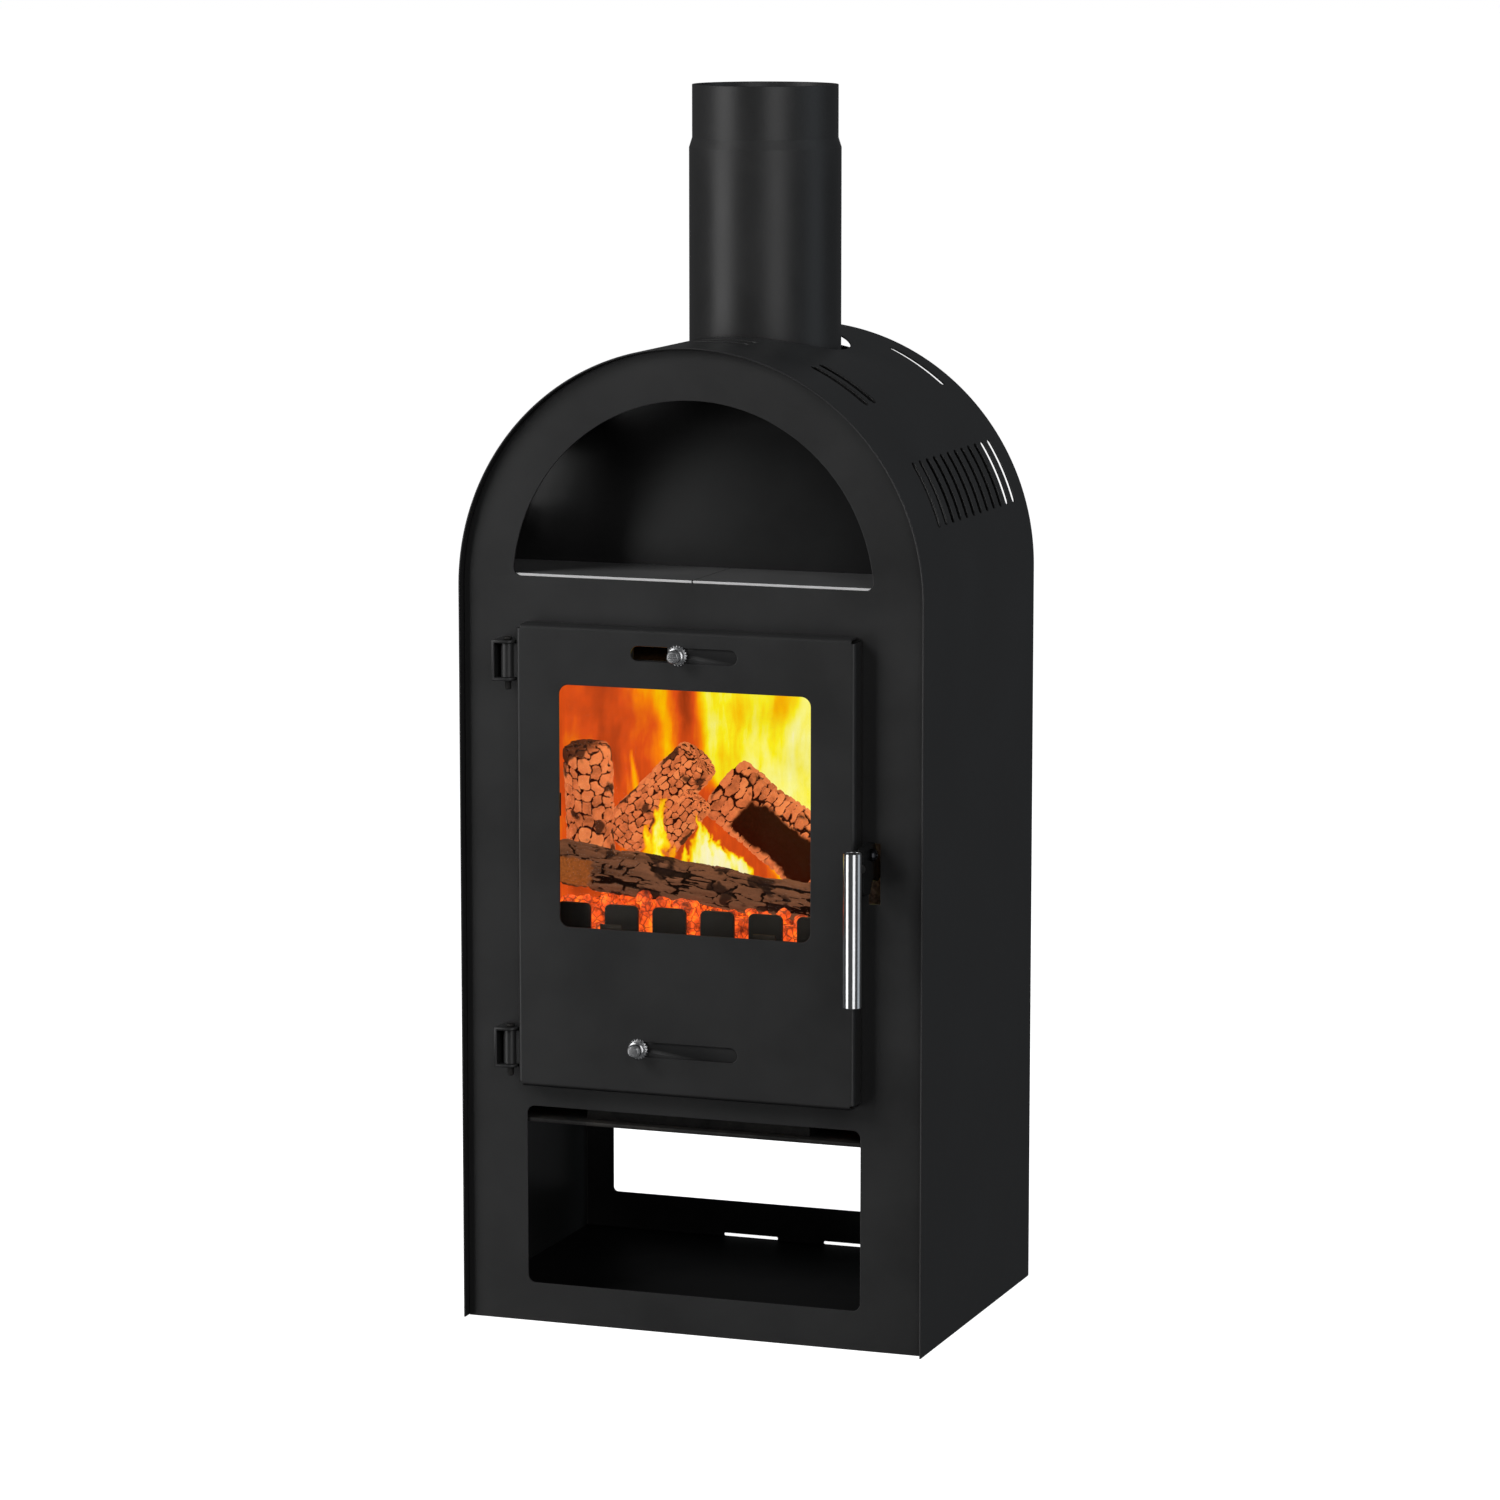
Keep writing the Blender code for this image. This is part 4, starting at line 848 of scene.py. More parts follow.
# ---------------------------------------------------------------- controls and handle
def make_knob(which, slot_z):
    low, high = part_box(f"{which}_air_knob")
    x = (low.x + high.x) / 2
    face = DOOR_LOW.y
    profile = [
        (0, 0.0160), (0.0052, 0.0160), (0.0070, 0.0142), (0.0070, 0.0062), (0.0054, 0.0056),
        (0.0052, 0.0046), (0.0088, 0.0042), (0.0088, 0.0019), (0.0025, 0.0019), (0.0025, -0.0058),
        (0, -0.0058),
    ]
    body = f"{which}_air"
    mesh = turned_mesh(soften(profile, 0.00035, 3), (x, face, slot_z), "front", 72)
    knob = show(f"{which}_air_grip", mesh, body, [f"{which}_air_knob"], 40)
    w_low, w_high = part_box(f"{which}_knob_washer")
    outer = (w_high.x - w_low.x) / 2
    teeth = 20
    loop = []
    for i in range(teeth):
        for share, radius in ((0.0, outer), (0.35, outer), (0.5, outer - 0.0012), (0.85, outer - 0.0012)):
            angle = 2 * pi * (i + share) / teeth
            loop.append((radius * cos(angle), radius * sin(angle)))
    bore = circle(0.0029, 32)
    middle_y = (w_low.y + w_high.y) / 2
    thick = w_high.y - w_low.y

    def place(a, b, n):
        return x + a, middle_y - n, slot_z + b

    name, node = f"{which}_star_washer", f"{which}_knob_washer"
    washer = sheet_piece(name, body, "bright_steel", node, [loop, bore], thick, place, 0.00025)
    return knob, washer


def make_handle():
    low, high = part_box("handle_rod")
    x, y = (low.x + high.x) / 2, (low.y + high.y) / 2
    outer = (high.x - low.x) / 2
    inner = outer - TUBE_WALL
    tube = [(inner, high.z), (outer, high.z), (outer, low.z), (inner, low.z)]
    mesh = turned_mesh(soften(tube, 0.0007, 4, closed=True), (x, y, 0), steps=96, ring=True)
    rod = show("handle_tube", mesh, "handle", ["handle_rod"], 50)
    caps = []
    for name in ("handle_cap_top", "handle_cap_bottom"):
        c_low, c_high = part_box(name)
        radius = (c_high.x - c_low.x) / 2
        up = name.endswith("top")
        face, back = (c_high.z, c_low.z) if up else (c_low.z, c_high.z)
        dish = -0.0006 if up else 0.0006
        profile = [(0, face + dish), (radius * 0.6, face + dish * 0.7), (radius * 0.86, face)]
        profile += [(radius, face), (radius, back), (0, back)]
        mesh = turned_mesh(soften(profile, 0.0004, 3), (x, y, 0), steps=64)
        caps.append(show(name + "_plug", mesh, "handle", [name], 50))
    s_low, s_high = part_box("handle_stem")
    stem_z, radius = (s_low.z + s_high.z) / 2, (s_high.z - s_low.z) / 2
    profile = [(0, -s_low.y), (radius, -s_low.y), (radius, -s_high.y), (0, -s_high.y)]
    mesh = turned_mesh(soften(profile, 0.0004, 3), (x, 0, stem_z), "front", 48)
    stem = show("handle_stem_bar", mesh, "handle", ["handle_stem"], 50)
    return rod, caps, stem


def make_lever():
    low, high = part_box("lever_plate")
    front = low.y - FRONT_Y
    top, bottom = high.z, 0.470
    r = 0.006
    outline = arc((front + r, bottom + r), r, 270, 180, 8) + arc((front + r, top - r), r, 180, 90, 8)
    outline += arc((0.0, top - 0.008), 0.008, 90, 20, 8)
    hook = [(0.016, 0.504), (0.022, 0.496), (0.022, 0.482), (0.014, 0.478)]
    hook += [(0.008, 0.486), (-0.002, 0.482), (-0.010, 0.470)]
    outline += soften(hook, 0.003, 4)
    bore = arc((-0.0045, 0.508), 0.0033, 0, 345, 23)
    middle_x = (low.x + high.x) / 2

    def place(a, b, n):
        return middle_x + n, y_at(a), b

    plate = [outline, bore], high.x - low.x, place, 0.0007
    return sheet_piece("lever_and_hook", "handle", "black_paint", "lever_plate", *plate)


def make_bolt():
    low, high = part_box("pivot_bolt")
    y, z = (low.y + high.y) / 2, (low.z + high.z) / 2
    head = (high.y - low.y) / 2
    profile = [
        (0, high.x - 0.0018), (0.0024, high.x - 0.0018), (0.0026, high.x - 0.0001),
        (0.0040, high.x - 0.0004), (0.0056, high.x - 0.0014), (head, high.x - 0.0030),
        (head, high.x - 0.0045), (0.003, high.x - 0.0045), (0.003, low.x), (0, low.x),
    ]
    mesh = turned_mesh(soften(profile, 0.0004, 3), (0, y, z), "right", 64)
    return show("pivot_bolt_turned", mesh, "door", ["pivot_bolt"], 45)


# ---------------------------------------------------------------- fire
def smooth_step(low, high, values):
    share = np.clip((values - low) / (high - low), 0, 1)
    return share * share * (3 - 2 * share)


def bump_at(values, centre, reach):
    return np.exp(-(((values - centre) / reach) ** 2))


def waves(points, scale, seed, octaves=4):
    """Smooth noise at many points, about -1 to 1."""
    offset = Vector((seed * 7.13, seed * 3.71, seed * 5.37))
    return np.array([noise.fractal(Vector(p) * scale + offset, 0.9, 2.0, octaves) for p in points])


def block_pattern(along, around, size, count, rng, sharp=4.0, jitter=0.28):
    """For points on an unrolled log: how far each is from a crack, and a tone for the block it lies in."""
    rows = int(along.max() / size) + 4
    shifts = rng.uniform(-jitter, jitter, (rows, count, 2))
    tones = rng.uniform(0, 1, (rows, count))
    gy = around * count
    column = np.floor(gy).astype(int)
    best = np.full(len(along), 9.0)
    second = np.full(len(along), 9.0)
    tone = np.zeros(len(along))
    for dj in (-1, 0, 1):
        j = column + dj
        jm = np.mod(j, count)
        gx = along / size + 1 + 0.5 * np.mod(jm, 2)
        row = np.floor(gx).astype(int)
        for di in (-1, 0, 1):
            i = np.clip(row + di, 0, rows - 1)
            shift = shifts[i, jm]
            dx = np.abs(gx - (row + di + 0.5 + shift[:, 0]))
            dy = np.abs(gy - (j + 0.5 + shift[:, 1]))
            distance = (dx**sharp + dy**sharp) ** (1 / sharp)
            closer = distance < best
            second = np.where(closer, best, np.minimum(second, distance))
            tone = np.where(closer, tones[i, jm], tone)
            best = np.where(closer, distance, best)
    return second - best, tone


def skin_faces(rings, sides):
    faces = []
    for i in range(rings - 1):
        for k in range(sides):
            m = (k + 1) % sides
            faces.append((i * sides + k, i * sides + m, (i + 1) * sides + m, (i + 1) * sides + k))
    first, last = rings * sides, (rings - 1) * sides
    for k in range(sides):
        m = (k + 1) % sides
        faces.append((first, m, k))
        faces.append((first + 1, last + k, last + m))
    return faces


def make_log(name, ends, radius, seed, look):
    """A burning log: blocks between deep cracks or long flakes of bark, rough cut ends."""
    rng = np.random.default_rng(seed)
    start, end = Vector(ends[0]), Vector(ends[1])
    axis = (end - start).normalized()
    side = axis.cross(Vector((0, 1, 0))).normalized()
    other = axis.cross(side)
    length = (end - start).length
    sides, caps = 128, 12
    body_rings = int(length / 0.0012)
    shares = [(0.0, i / caps) for i in range(1, caps)]
    shares += [(i / body_rings, 1.0) for i in range(body_rings + 1)]
    shares += [(1.0, 1 - i / caps) for i in range(1, caps)]
    along = np.repeat([s[0] * length for s in shares], sides)
    fill = np.repeat([s[1] for s in shares], sides)
    around = np.tile(np.arange(sides) / sides, len(shares))
    turn = 2 * pi * around
    directions = np.outer(np.cos(turn), side) + np.outer(np.sin(turn), other)
    narrow = 1 - look.get("taper", 0.0) * along / length
    base = np.outer(along, axis) + directions * (radius * fill)[:, None]
    lumps = waves(base, 22, seed, 3)
    grain = waves(base, 150, seed + 3, 4)
    flow = np.outer(along * look.get("flow", 1.0), axis) + directions * (radius * fill)[:, None]
    streak = waves(flow, 90, seed + 5, 4)
    bend = look.get("bend", 0.3)
    border, tone = block_pattern(
        along + 0.006 * lumps + 0.0015 * grain,
        (around + 0.02 * bend * lumps + 0.012 * bend * streak) % 1,
        look["block"], look["rows"], rng, look.get("sharp", 4.0), jitter=look.get("jitter", 0.28),
    )
    crack = smooth_step(0.015, look.get("crack_width", 0.2), border + 0.07 * grain)
    crack = np.minimum(crack, 1 - look.get("fissures", 0.0) * smooth_step(0.1, 0.4, streak))
    bare = np.zeros(len(along))
    if "bare" in look:
        facing, from_share, to_share, spread = look["bare"]
        towards = directions @ np.array(Vector(facing).normalized())
        towards = towards + 0.10 * lumps + 0.05 * grain
        share = along / length + 0.02 * lumps + 0.01 * grain
        bare = smooth_step(spread, spread + 0.06, towards)
        bare = bare * smooth_step(from_share, from_share + 0.03, share)
        bare = bare * (1 - smooth_step(to_share - 0.02, to_share, share)) * (fill > 0.999)
    crack = np.maximum(crack, bare)
    lift = look["depth"] * (crack - 1) + 0.0012 * (tone - 0.5) * (1 - bare)
    lift = lift + 0.0026 * lumps + 0.0007 * grain - 0.003 * bare
    edge = np.clip(np.minimum(along, length - along) / 0.006, 0, 1) ** 0.5
    rim = 0.93 + 0.07 * edge
    reach = (radius * look.get("swell", 0.92) * rim * narrow + lift) * fill
    cap = 0.0022 * grain + 0.0012 * np.sin(fill * 30)
    push = np.where(fill > 0.999, 0.0, cap * np.where(along > length / 2, 1, -1) * (1 - fill**4))
    points = np.array(start) + np.outer(along + push, axis) + directions * reach[:, None]
    char = smooth_step(look.get("char", 0.25), look.get("char", 0.25) + 0.15, waves(base, 34, seed + 9, 3))
    heat = np.clip(look["heat"] + 0.22 * lumps + 0.12 * grain, 0, 1)
    if "cool_towards" in look:
        way, reach_share = look["cool_towards"]
        past = (points - points.mean(axis=0)) @ np.array(Vector(way).normalized()) / length
        char = np.maximum(char, smooth_step(reach_share, reach_share + 0.12, past + 0.05 * lumps))
    mesh = bpy.data.meshes.new(name)
    verts = [tuple(p) for p in points] + [tuple(start), tuple(end)]
    mesh.from_pydata(verts, [], skin_faces(len(shares), sides))
    values = {"crack": crack, "tone": tone, "heat": heat, "char": char, "bare": bare}
    values["streak"] = 0.5 + 0.5 * streak
    give_values(mesh, {key: [*numbers, numbers[0], numbers[-1]] for key, numbers in values.items()})
    face_outward(mesh)
    return show(name + "_char", mesh, "stove", [name], 80)


LOGS = {
    "log_front": (((-0.165, 0.060, 0.470), (0.158, 0.064, 0.438)), 0.0245),
    "log_centre": (((-0.136, 0.166, 0.481), (-0.051, 0.166, 0.5665)), 0.0275),
    "log_short": (((-0.068, 0.098, 0.485), (-0.0265, 0.098, 0.535)), 0.0185),
    "log_right": (((-0.047, 0.2325, 0.529), (0.062, 0.2325, 0.446)), 0.038),
    "log_left": (((-0.1485, 0.112, 0.470), (-0.1485, 0.100, 0.585)), 0.026),
}

LOG_LOOKS = {
    "log_front": {
        "block": 0.034, "rows": 15, "depth": 0.0034, "heat": 0.85, "crack_width": 0.20, "sharp": 2.0,
        "flow": 0.11, "bend": 3.2, "jitter": 0.45, "fissures": 0.95, "char": 0.22, "taper": 0.22,
        "swell": 0.96, "bare": ((0, -1, -0.55), -0.1, 0.145, 0.50),
    },
    "log_centre": {
        "block": 0.0092, "rows": 18, "depth": 0.0028, "heat": 0.95, "bend": 0.8, "crack_width": 0.27,
    },
    "log_short": {
        "block": 0.0088, "rows": 13, "depth": 0.0026, "heat": 1.0, "bend": 0.8, "crack_width": 0.27,
    },
    "log_right": {
        "block": 0.0088, "rows": 9, "depth": 0.0052, "heat": 0.55, "bend": 0.9, "crack_width": 0.30,
        "bare": ((0.15, -1, -0.12), 0.24, 2.0, 0.70), "char": 0.35,
    },
    "log_left": {
        "block": 0.014, "rows": 12, "depth": 0.0026, "heat": 0.95, "bend": 1.6, "crack_width": 0.22,
        "cool_towards": ((-0.35, 0, 1), 0.38), "swell": 0.98,
    },
}


def make_logs(materials):
    for seed, (name, (ends, radius)) in enumerate(LOGS.items(), 3):
        placed = [(x, y_at(setback), z) for x, setback, z in ends]
        piece = make_log(name, placed, radius, seed, LOG_LOOKS[name])
        paint(piece, materials["bark" if name == "log_front" else "char"])


def make_ember_bed(material):
    """A heap of glowing coals over the grate, on a glowing crust."""
    low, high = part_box("ember_bed")
    rng = np.random.default_rng(11)
    shape = bmesh.new()
    layer = shape.verts.layers.float.new("heat")
    spots = []
    for _ in range(360):
        x = rng.uniform(low.x + 0.008, high.x - 0.008)
        back = rng.uniform(0.0, 1.0) ** 1.4
        y = y_at(0.020) + 0.006 + back * (high.y - y_at(0.020) - 0.02)
        rise = (0.034 - 0.05 * x) * (1 - back) + 0.004
        drop = 0.014 if back < 0.05 else 0.008
        z = high.z - drop + rng.uniform(0, 1) * rise
        spots.append((x, y, z, rng.uniform(0.005, 0.0115)))
    for number, (x, y, z, size) in enumerate(spots):
        made = bmesh.ops.create_icosphere(shape, subdivisions=2, radius=1.0)
        squash = Vector(rng.uniform(0.65, 1.15, 3))
        spin = Matrix.Rotation(rng.uniform(0, 6.28), 3, Vector(rng.normal(size=3)).normalized())
        heat = float(rng.uniform(0, 1))
        for vert in made["verts"]:
            facet = noise.cell(vert.co * 1.7 + Vector((number, 0, 0)))
            lump = 1 + 0.28 * noise.noise(vert.co * 1.6 + Vector((number * 3.1, 0, 0))) + 0.08 * facet
            local = Vector([a * b for a, b in zip(vert.co * lump, squash)]) * size
            vert.co = spin @ local + Vector((x, y, z))
            vert[layer] = heat
    crust_front, crust_back = y_at(0.022), high.y - 0.004
    crust = bmesh.ops.create_grid(shape, x_segments=90, y_segments=60, size=1.0)
    for vert in crust["verts"]:
        x = (vert.co.x + 1) / 2 * (high.x - low.x - 0.008) + low.x + 0.004
        back = (vert.co.y + 1) / 2
        y = crust_front + back * (crust_back - crust_front)
        height = high.z - 0.003 + (0.020 - 0.04 * x) * (1 - back) ** 2
        height += 0.004 * noise.noise(Vector((x, y, 0)) * 90)
        if back < 0.01:
            height = low.z - 0.006
        vert.co = Vector((x, y, height))
        vert[layer] = 1.3
    mesh = bpy.data.meshes.new("coals")
    shape.to_mesh(mesh)
    shape.free()
    piece = show("coal_bed", mesh, "stove", ["ember_bed"], 30)
    return paint(piece, material)


# ---------------------------------------------------------------- flames
FIRE_LEFT, FIRE_WIDTH = -0.1335, 0.267      # the span that the window shows
FIRE_LOW, FIRE_HEIGHT = 0.417, 0.246
LEAN_ACROSS, LEAN_UP = 0.364, 0.162         # flames farther back are drawn shifted, so that layers line up


def fire_place(points):
    """How far across and up the fire each point is, 0 to 1 over the part that the window shows."""
    depth = points[:, 1] - y_at(-0.010)
    across = (points[:, 0] + LEAN_ACROSS * depth - FIRE_LEFT) / FIRE_WIDTH
    up = (points[:, 2] + LEAN_UP * depth - FIRE_LOW) / FIRE_HEIGHT
    return across, up


def tongue_level(across, up, wobble, tongues):
    """Brightness of flames that rise from a foot to a tip; each is (foot, tip, width, strength)."""
    level = np.zeros(len(across))
    for (foot_a, foot_u), (tip_a, tip_u), width, strength in tongues:
        h = (up - foot_u) / (tip_u - foot_u)
        inside = np.clip(h, 0, 1)
        middle = foot_a + (tip_a - foot_a) * inside**1.4 + 0.035 * wobble * (0.3 + inside)
        half = width * (1 - inside) ** 0.75 * (1 + 0.5 * wobble) + 1e-4
        body = np.clip(1 - ((across - middle) / half) ** 2, 0, 1)
        fade = smooth_step(-0.35, 0.05, h) * (1 - smooth_step(0.55, 1.05, h) * 0.7)
        level = np.maximum(level, strength * body * fade * (h < 1))
    return level


def backdrop_level(points):
    """0 for dark red gas to 1 for white flame, over the back and the sides of the firebox."""
    across, up = fire_place(points)
    flat = np.zeros(len(up))
    place = np.column_stack([across, flat, up])
    sway = waves(place * (3.0, 0, 2.0), 1.0, 2, 3)
    across = across + 0.06 * sway
    streaks = waves(np.column_stack([across * 13, flat, up * 2.2 - across * 1.2]), 1.0, 4, 5)
    patches = waves(place * (7, 0, 7), 1.0, 6, 4)
    left = 0.33 + 0.15 * streaks + 0.07 * patches
    left += 0.23 * bump_at(across, 0.37 - 0.10 * (up - 0.8), 0.085) * smooth_step(0.45, 0.75, up)
    left -= 0.12 * bump_at(across, 0.20, 0.05) * smooth_step(0.5, 0.8, up)
    left -= 0.16 * bump_at(across, 0.49, 0.035) * smooth_step(0.80, 0.95, up)
    left += tongue_level(across, up, sway, [((0.275, 0.48), (0.262, 0.76), 0.035, 0.30)])
    right = 0.76 + 0.15 * streaks + 0.05 * patches
    right += 0.12 * smooth_step(0.62, 0.95, across) * (1 - smooth_step(0.8, 1.0, up))
    edge = 0.535 + 0.6 * np.clip(0.74 - up, 0, 1) + 0.04 * streaks
    share = smooth_step(-0.035, 0.05, across - edge)
    return np.clip(left * (1 - share) + right * share, 0.02, 1)


def sheet_of(columns, rows_for):
    """A grid whose columns stand on the given plan points; rows_for gives each column's heights."""
    verts, faces = [], []
    rows = 0
    for x, y in columns:
        heights = rows_for(x, y)
        rows = len(heights)
        for z in heights:
            ripple = 0.004 * noise.noise(Vector((x * 30, y * 30, z * 14)))
            toward = Vector((-x, y_at(0.15) - y)).normalized()
            verts.append((x + toward.x * ripple, y + toward.y * ripple, z))
    for i in range(len(columns) - 1):
        for row in range(rows - 1):
            a = i * rows + row
            faces.append((a, a + 1, a + rows + 1, a + rows))
    return verts, faces


def make_flame_backdrop(material):
    """A rippled sheet of fire before the side and back bricks, and one that licks past the baffle's edge."""
    brick_left, brick_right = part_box("firebrick_left")[1].x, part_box("firebrick_right")[0].x
    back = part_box("firebrick_back")[0].y - 0.006
    baffle_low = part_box("baffle_plate")[0]
    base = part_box("ember_bed")[1].z
    inset, corner, step = 0.006, 0.05, 0.002
    left, right = brick_left + inset, brick_right - inset
    path = [(left, y_at(0.047)), (left, back - corner)]
    path += arc((left + corner, back - corner), corner, 180, 90, 12)[1:]
    path += arc((right - corner, back - corner), corner, 90, 0, 12)
    path += [(right, y_at(0.047))]

    def tall(x, y):
        under_baffle = y > baffle_low.y - 0.006
        return np.linspace(base, baffle_low.z - 0.004 if under_baffle else FLAME_TOP, 110)

    verts, faces = sheet_of(evenly(path, step), tall)
    shown = [1.0] * len(verts)
    lick = baffle_low.y - 0.010
    across = evenly([(left, lick), (right, lick)], step)
    more, more_faces = sheet_of(across, lambda x, y: np.linspace(0.60, FLAME_TOP, 36))
    faces += [tuple(i + len(verts) for i in face) for face in more_faces]
    verts += more
    up = fire_place(np.array(more))[1]
    shown += list(smooth_step(0.86, 0.95, up))
    mesh = bpy.data.meshes.new("flames")
    mesh.from_pydata(verts, [], faces)
    give_values(mesh, {"level": backdrop_level(np.array(verts)), "shown": shown})
    return paint(show("flame_backdrop", mesh, "stove", (), 80), material)


# each flame: foot (across, up), tip (across, up), half width, strength
LOW_FLAMES = [
    ((0.545, 0.25), (0.540, 0.51), 0.045, 0.90),
    ((0.590, 0.24), (0.560, 0.46), 0.075, 1.20),
    ((0.650, 0.23), (0.605, 0.42), 0.085, 1.15),
    ((0.740, 0.21), (0.665, 0.37), 0.100, 1.00),
    ((0.830, 0.18), (0.750, 0.275), 0.080, 0.65),
    ((0.495, 0.26), (0.505, 0.38), 0.035, 0.62),
    ((0.385, 0.28), (0.398, 0.58), 0.046, 0.78),
    ((0.350, 0.28), (0.352, 0.46), 0.044, 0.66),
    ((0.440, 0.28), (0.430, 0.38), 0.026, 0.45),
]


def make_low_flames(material):
    """Flames that lick up between the front log and the ones behind it."""
    setback = 0.0785
    columns = [(x, y_at(setback)) for x in np.arange(-0.150, 0.135, 0.0012)]
    verts, faces = sheet_of(columns, lambda x, y: np.linspace(0.455, 0.560, 90))
    points = np.array(verts)
    across, up = fire_place(points)
    wobble = waves(points * (1, 0, 0.8), 55, 3, 4)
    level = tongue_level(across, up, wobble, LOW_FLAMES)
    level = level * (1 + 0.25 * waves(points * (1, 0, 0.35), 160, 7, 4))
    mesh = bpy.data.meshes.new("low_flames")
    mesh.from_pydata(verts, [], faces)
    shown = 0.95 * smooth_step(0.03, 0.50, level)
    give_values(mesh, {"level": 0.36 + 0.60 * np.clip(level, 0, 1), "shown": shown})
    return paint(show("flame_tongues", mesh, "stove", (), 180), material)


def flame_material(name, strength, streak=0.16):
    """Burning gas: the mesh carries how hot it is and how much of it covers what is behind."""
    material = bpy.data.materials.new(name)
    material.use_nodes = True
    tree = material.node_tree
    tree.nodes.clear()
    level = add(tree, "Attribute", attribute_name="level").outputs["Fac"]
    shown = add(tree, "Attribute", attribute_name="shown").outputs["Fac"]
    wisps = noise_of(tree, place_of(tree, (150, 150, 26)), 1.0, 6, 0.62, 0.7)
    tuned = sums(tree, "MULTIPLY_ADD", sums(tree, "SUBTRACT", wisps, 0.5), streak, level)
    colours = ramp(tree, tuned, [
        (0.00, (0.10, 0.012, 0.003)),
        (0.20, (0.42, 0.050, 0.008)),
        (0.36, (0.74, 0.085, 0.010)),
        (0.50, (0.98, 0.230, 0.004)),
        (0.64, (1.00, 0.520, 0.001)),
        (0.77, (1.00, 0.920, 0.015)),
        (0.90, (1.00, 1.000, 0.300)),
        (1.00, (1.00, 1.000, 0.700)),
    ])
    glow = add(tree, "Emission", {"Color": colours, "Strength": strength})
    clear = add(tree, "BsdfTransparent")
    both = add(tree, "MixShader", {0: shown, 1: clear.outputs[0], 2: glow.outputs[0]})
    out = add(tree, "OutputMaterial")
    tree.links.new(both.outputs[0], out.inputs["Surface"])
    return material


# ---------------------------------------------------------------- light, floor and camera
def make_light(name, azimuth, height_at, distance, width, height, power, colour, gloss_only):
    """A softbox that faces the stove; azimuth 0 is straight in front of it and 90 on its right.

    Tall upright boxes give only the highlights; small high ones light the matt surfaces.
    """
    lamp = bpy.data.lights.new(name, "AREA")
    lamp.shape = "RECTANGLE"
    lamp.size = width
    lamp.size_y = height
    lamp.energy = power
    lamp.color = colour
    holder = bpy.data.objects.new(name, lamp)
    bpy.context.scene.collection.objects.link(holder)
    a = radians(azimuth)
    holder.location = (distance * sin(a), -distance * cos(a), height_at)
    level = height_at if gloss_only else 0.6
    aim = Vector((0, 0, level)) - holder.location
    holder.rotation_euler = aim.to_track_quat("-Z", "Y").to_euler()
    holder.visible_camera = False
    holder.visible_diffuse = not gloss_only
    holder.visible_glossy = gloss_only


def make_stage():
    scene = bpy.context.scene
    scene.view_settings.view_transform = "Standard"
    world = bpy.data.worlds.new("studio")
    scene.world = world
    world.use_nodes = True
    tree = world.node_tree
    tree.nodes.clear()
    path = add(tree, "LightPath").outputs
    seen = add(tree, "Background", {"Color": (1, 1, 1, 1), "Strength": 1.0})
    mirrored = add(tree, "Background", {"Color": (0.95, 0.97, 1.0, 1), "Strength": 0.07})
    light = add(tree, "Background", {"Color": (0.75, 0.82, 1.0, 1), "Strength": 0.008})
    dim = add(tree, "MixShader", {0: path["Is Glossy Ray"], 1: light.outputs[0], 2: mirrored.outputs[0]})
    both = add(tree, "MixShader", {0: path["Is Camera Ray"], 1: dim.outputs[0], 2: seen.outputs[0]})
    out = add(tree, "OutputWorld")
    tree.links.new(both.outputs[0], out.inputs["Surface"])

    shape = bmesh.new()
    bmesh.ops.create_circle(shape, cap_ends=True, segments=96, radius=60)
    mesh = bpy.data.meshes.new("floor")
    shape.to_mesh(mesh)
    shape.free()
    ground = bpy.data.objects.new("studio_floor", mesh)
    bpy.context.scene.collection.objects.link(ground)
    ground.location.z = -0.0005
    ground.visible_glossy = False
    ground.visible_diffuse = False
    ground.visible_shadow = False
    paint(ground, floor_material("floor_pale"))

    white, cool = (1.0, 1.0, 1.0), (0.85, 0.93, 1.0)
    make_light("gloss_left", -48, 1.42, 7.0, 3.75, 8.2, 180, white, True)
    make_light("gloss_front", 37, 1.42, 7.0, 3.5, 8.2, 122, white, True)
    make_light("gloss_right", 100, 1.42, 7.0, 3.75, 8.2, 48, cool, True)
    make_light("key_left", -46, 3.2, 4.0, 2.2, 2.0, 130, white, False)
    make_light("fill_front", 37, 2.8, 4.0, 2.2, 2.0, 40, white, False)
    make_light("fill_right", 100, 3.0, 4.0, 2.2, 2.0, 50, cool, False)


def make_fire_light():
    """A weak warm lamp inside the firebox, for the glow on the logs and the bricks."""
    lamp = bpy.data.lights.new("fire_glow", "AREA")
    lamp.shape = "RECTANGLE"
    lamp.size, lamp.size_y = 0.24, 0.10
    lamp.energy = 0.35
    lamp.color = (1.0, 0.62, 0.30)
    holder = bpy.data.objects.new("fire_glow", lamp)
    bpy.context.scene.collection.objects.link(holder)
    holder.location = (0.0, y_at(0.045), 0.655)
    target = Vector((-0.01, y_at(0.14), 0.49))
    holder.rotation_euler = (target - holder.location).to_track_quat("-Z", "Y").to_euler()
    holder.visible_camera = False


def make_camera():
    """The photo's viewpoint."""
    camera = bpy.data.cameras.new("camera")
    camera.lens, camera.sensor_width = LENS, SENSOR
    holder = bpy.data.objects.new("camera", camera)
    bpy.context.scene.collection.objects.link(holder)
    holder.location = CAMERA_PLACE
    holder.rotation_euler = (radians(90 - LOOK_DOWN), 0, radians(LOOK_ROUND))
    bpy.context.scene.camera = holder


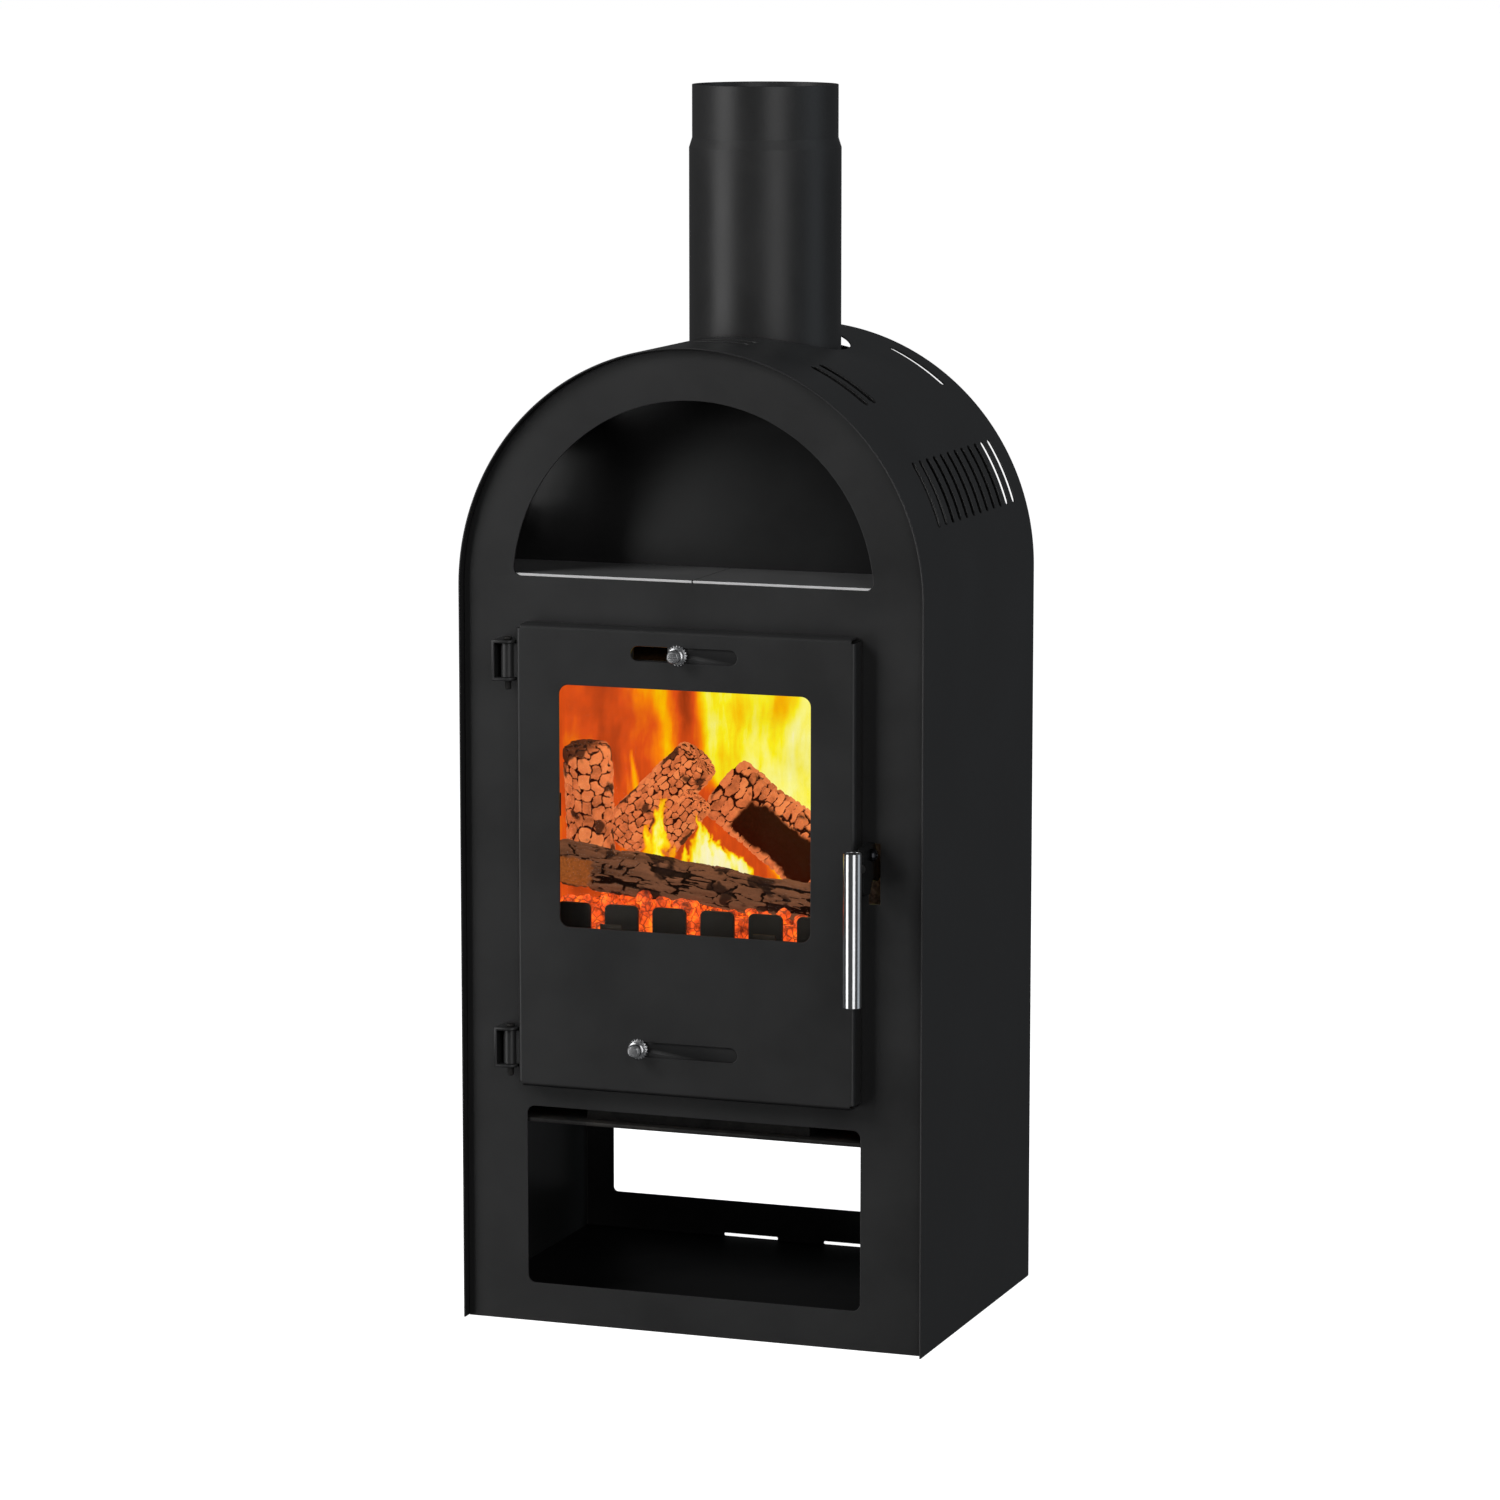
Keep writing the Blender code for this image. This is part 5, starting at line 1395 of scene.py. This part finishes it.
# ---------------------------------------------------------------- assembly
SOOTED = (
    "firebox_floor", "firebox_left_wall", "firebox_right_wall", "firebox_back_wall", "firebox_roof",
    "hearth_plate", "ash_pan", "flue_collar", "glass_clip_lower_left", "glass_clip_lower_right",
    "glass_clip_left", "glass_clip_right", "upper_air_guide", "lower_air_guide", "pivot_spacer", "pivot_nut",
)
# block tops, cracks, glow (the char's own glow and painted firelight), bare patches
BARK_LOOK = ((0.20, 0.085, 0.046), (0.006, 0.002, 0.001), 6.0, (0.36, 0.105, 0.024))
CHAR_LOOK = ((0.80, 0.215, 0.075), (0.022, 0.002, 0.001), 7.0, (0.020, 0.0022, 0.0006))


def main():
    coat = coat_material("stove_paint")
    soot = soot_material("sooted_steel")
    iron = iron_material("cast_iron")
    brick = brick_material("vermiculite")
    for maker in (make_outer_shell, make_front_panel, make_rear_panel, make_flue, make_door_panel):
        paint(maker(), coat)
    # the lever gets a darker, less shiny copy of the stove paint: painted shade
    paint(make_lever(), coat_material("lever_paint_painted_shade", 0.006, 0.25, 0.25))
    for which, slot_z in (("upper", UPPER_SLOT_Z), ("lower", LOWER_SLOT_Z)):
        paint(make_hinge_leaf(which), coat)
        paint(make_hinge_pin(which), soot)
        for piece in make_knob(which, slot_z):
            paint(piece, steel_material(piece.name + "_steel", "around", (0.88, 0.88, 0.89), 0.2))
    # the niche's shelves get a copy of the stove paint about four times lighter: painted light on the niche's
    # floor
    shelf_coat_painted_light = coat_material("shelf_paint_painted_light", 0.11)
    # the shelves' front edges are bare cut steel, coloured near white as a painted highlight; matt, not
    # mirror-like
    bare = steel_material("cut_edge_painted_highlight", "x", (0.9, 0.9, 0.9), 0.4)
    bare.node_tree.nodes["Principled BSDF"].inputs["Metallic"].default_value = 0.0
    for shelf in make_niche_shelves():
        paint(shelf, shelf_coat_painted_light)
        shelf.data.materials.append(bare)
        for face in shelf.data.polygons:
            if face.normal.y < -0.5:
                face.material_index = 1
    paint(make_log_guard(), coat)
    rod, caps, stem = make_handle()
    paint(rod, steel_material("rod_steel", "around"))
    for cap in caps:
        paint(cap, plastic_material(cap.name + "_plastic"))
    paint(stem, soot)
    paint(make_bolt(), steel_material("bolt_steel", "x", (0.05, 0.05, 0.055), 0.22))
    paint(make_rope_seal(), braid_material("rope_braid"))

    # the log store's floor gets a near-black copy of the stove paint: painted shade inside the store
    paint(refine("floor_plate", FINE_EDGE), coat_material("floor_paint_painted_shade", 0.006, 0.5, 0.15))
    # the niche's back gets a darker copy of the stove paint: painted shade in the recess
    paint(refine("niche_back", FINE_EDGE), coat_material("niche_paint_painted_shade", 0.017))
    for node in ("hinge_bracket_upper", "hinge_bracket_lower", "upper_air_plate", "lower_air_plate"):
        paint(refine(node, FINE_EDGE), coat)
    for node in SOOTED:
        paint(refine(node, FINE_EDGE), soot)
    for node in ("firebrick_left", "firebrick_right", "firebrick_back", "baffle_plate"):
        paint(refine(node, 0.0015, 3), brick)
    paint(refine("grate", 0.0012, 3), iron)
    paint(refine("glass_gasket", FINE_EDGE), tape_material("woven_tape"))
    paint(refine("door_glass", FINE_EDGE), glass_material("ceramic_glass"))

    make_logs({
        "bark": char_material("front_log_bark", *BARK_LOOK, flow=0.6),
        "char": char_material("glowing_char", *CHAR_LOOK),
    })
    make_ember_bed(ember_material("glowing_coals"))
    make_flame_backdrop(flame_material("flame_sheet", 1.05))
    make_low_flames(flame_material("flame_tongue", 1.1, 0.22))
    make_fire_light()
    make_stage()
    make_camera()


main()
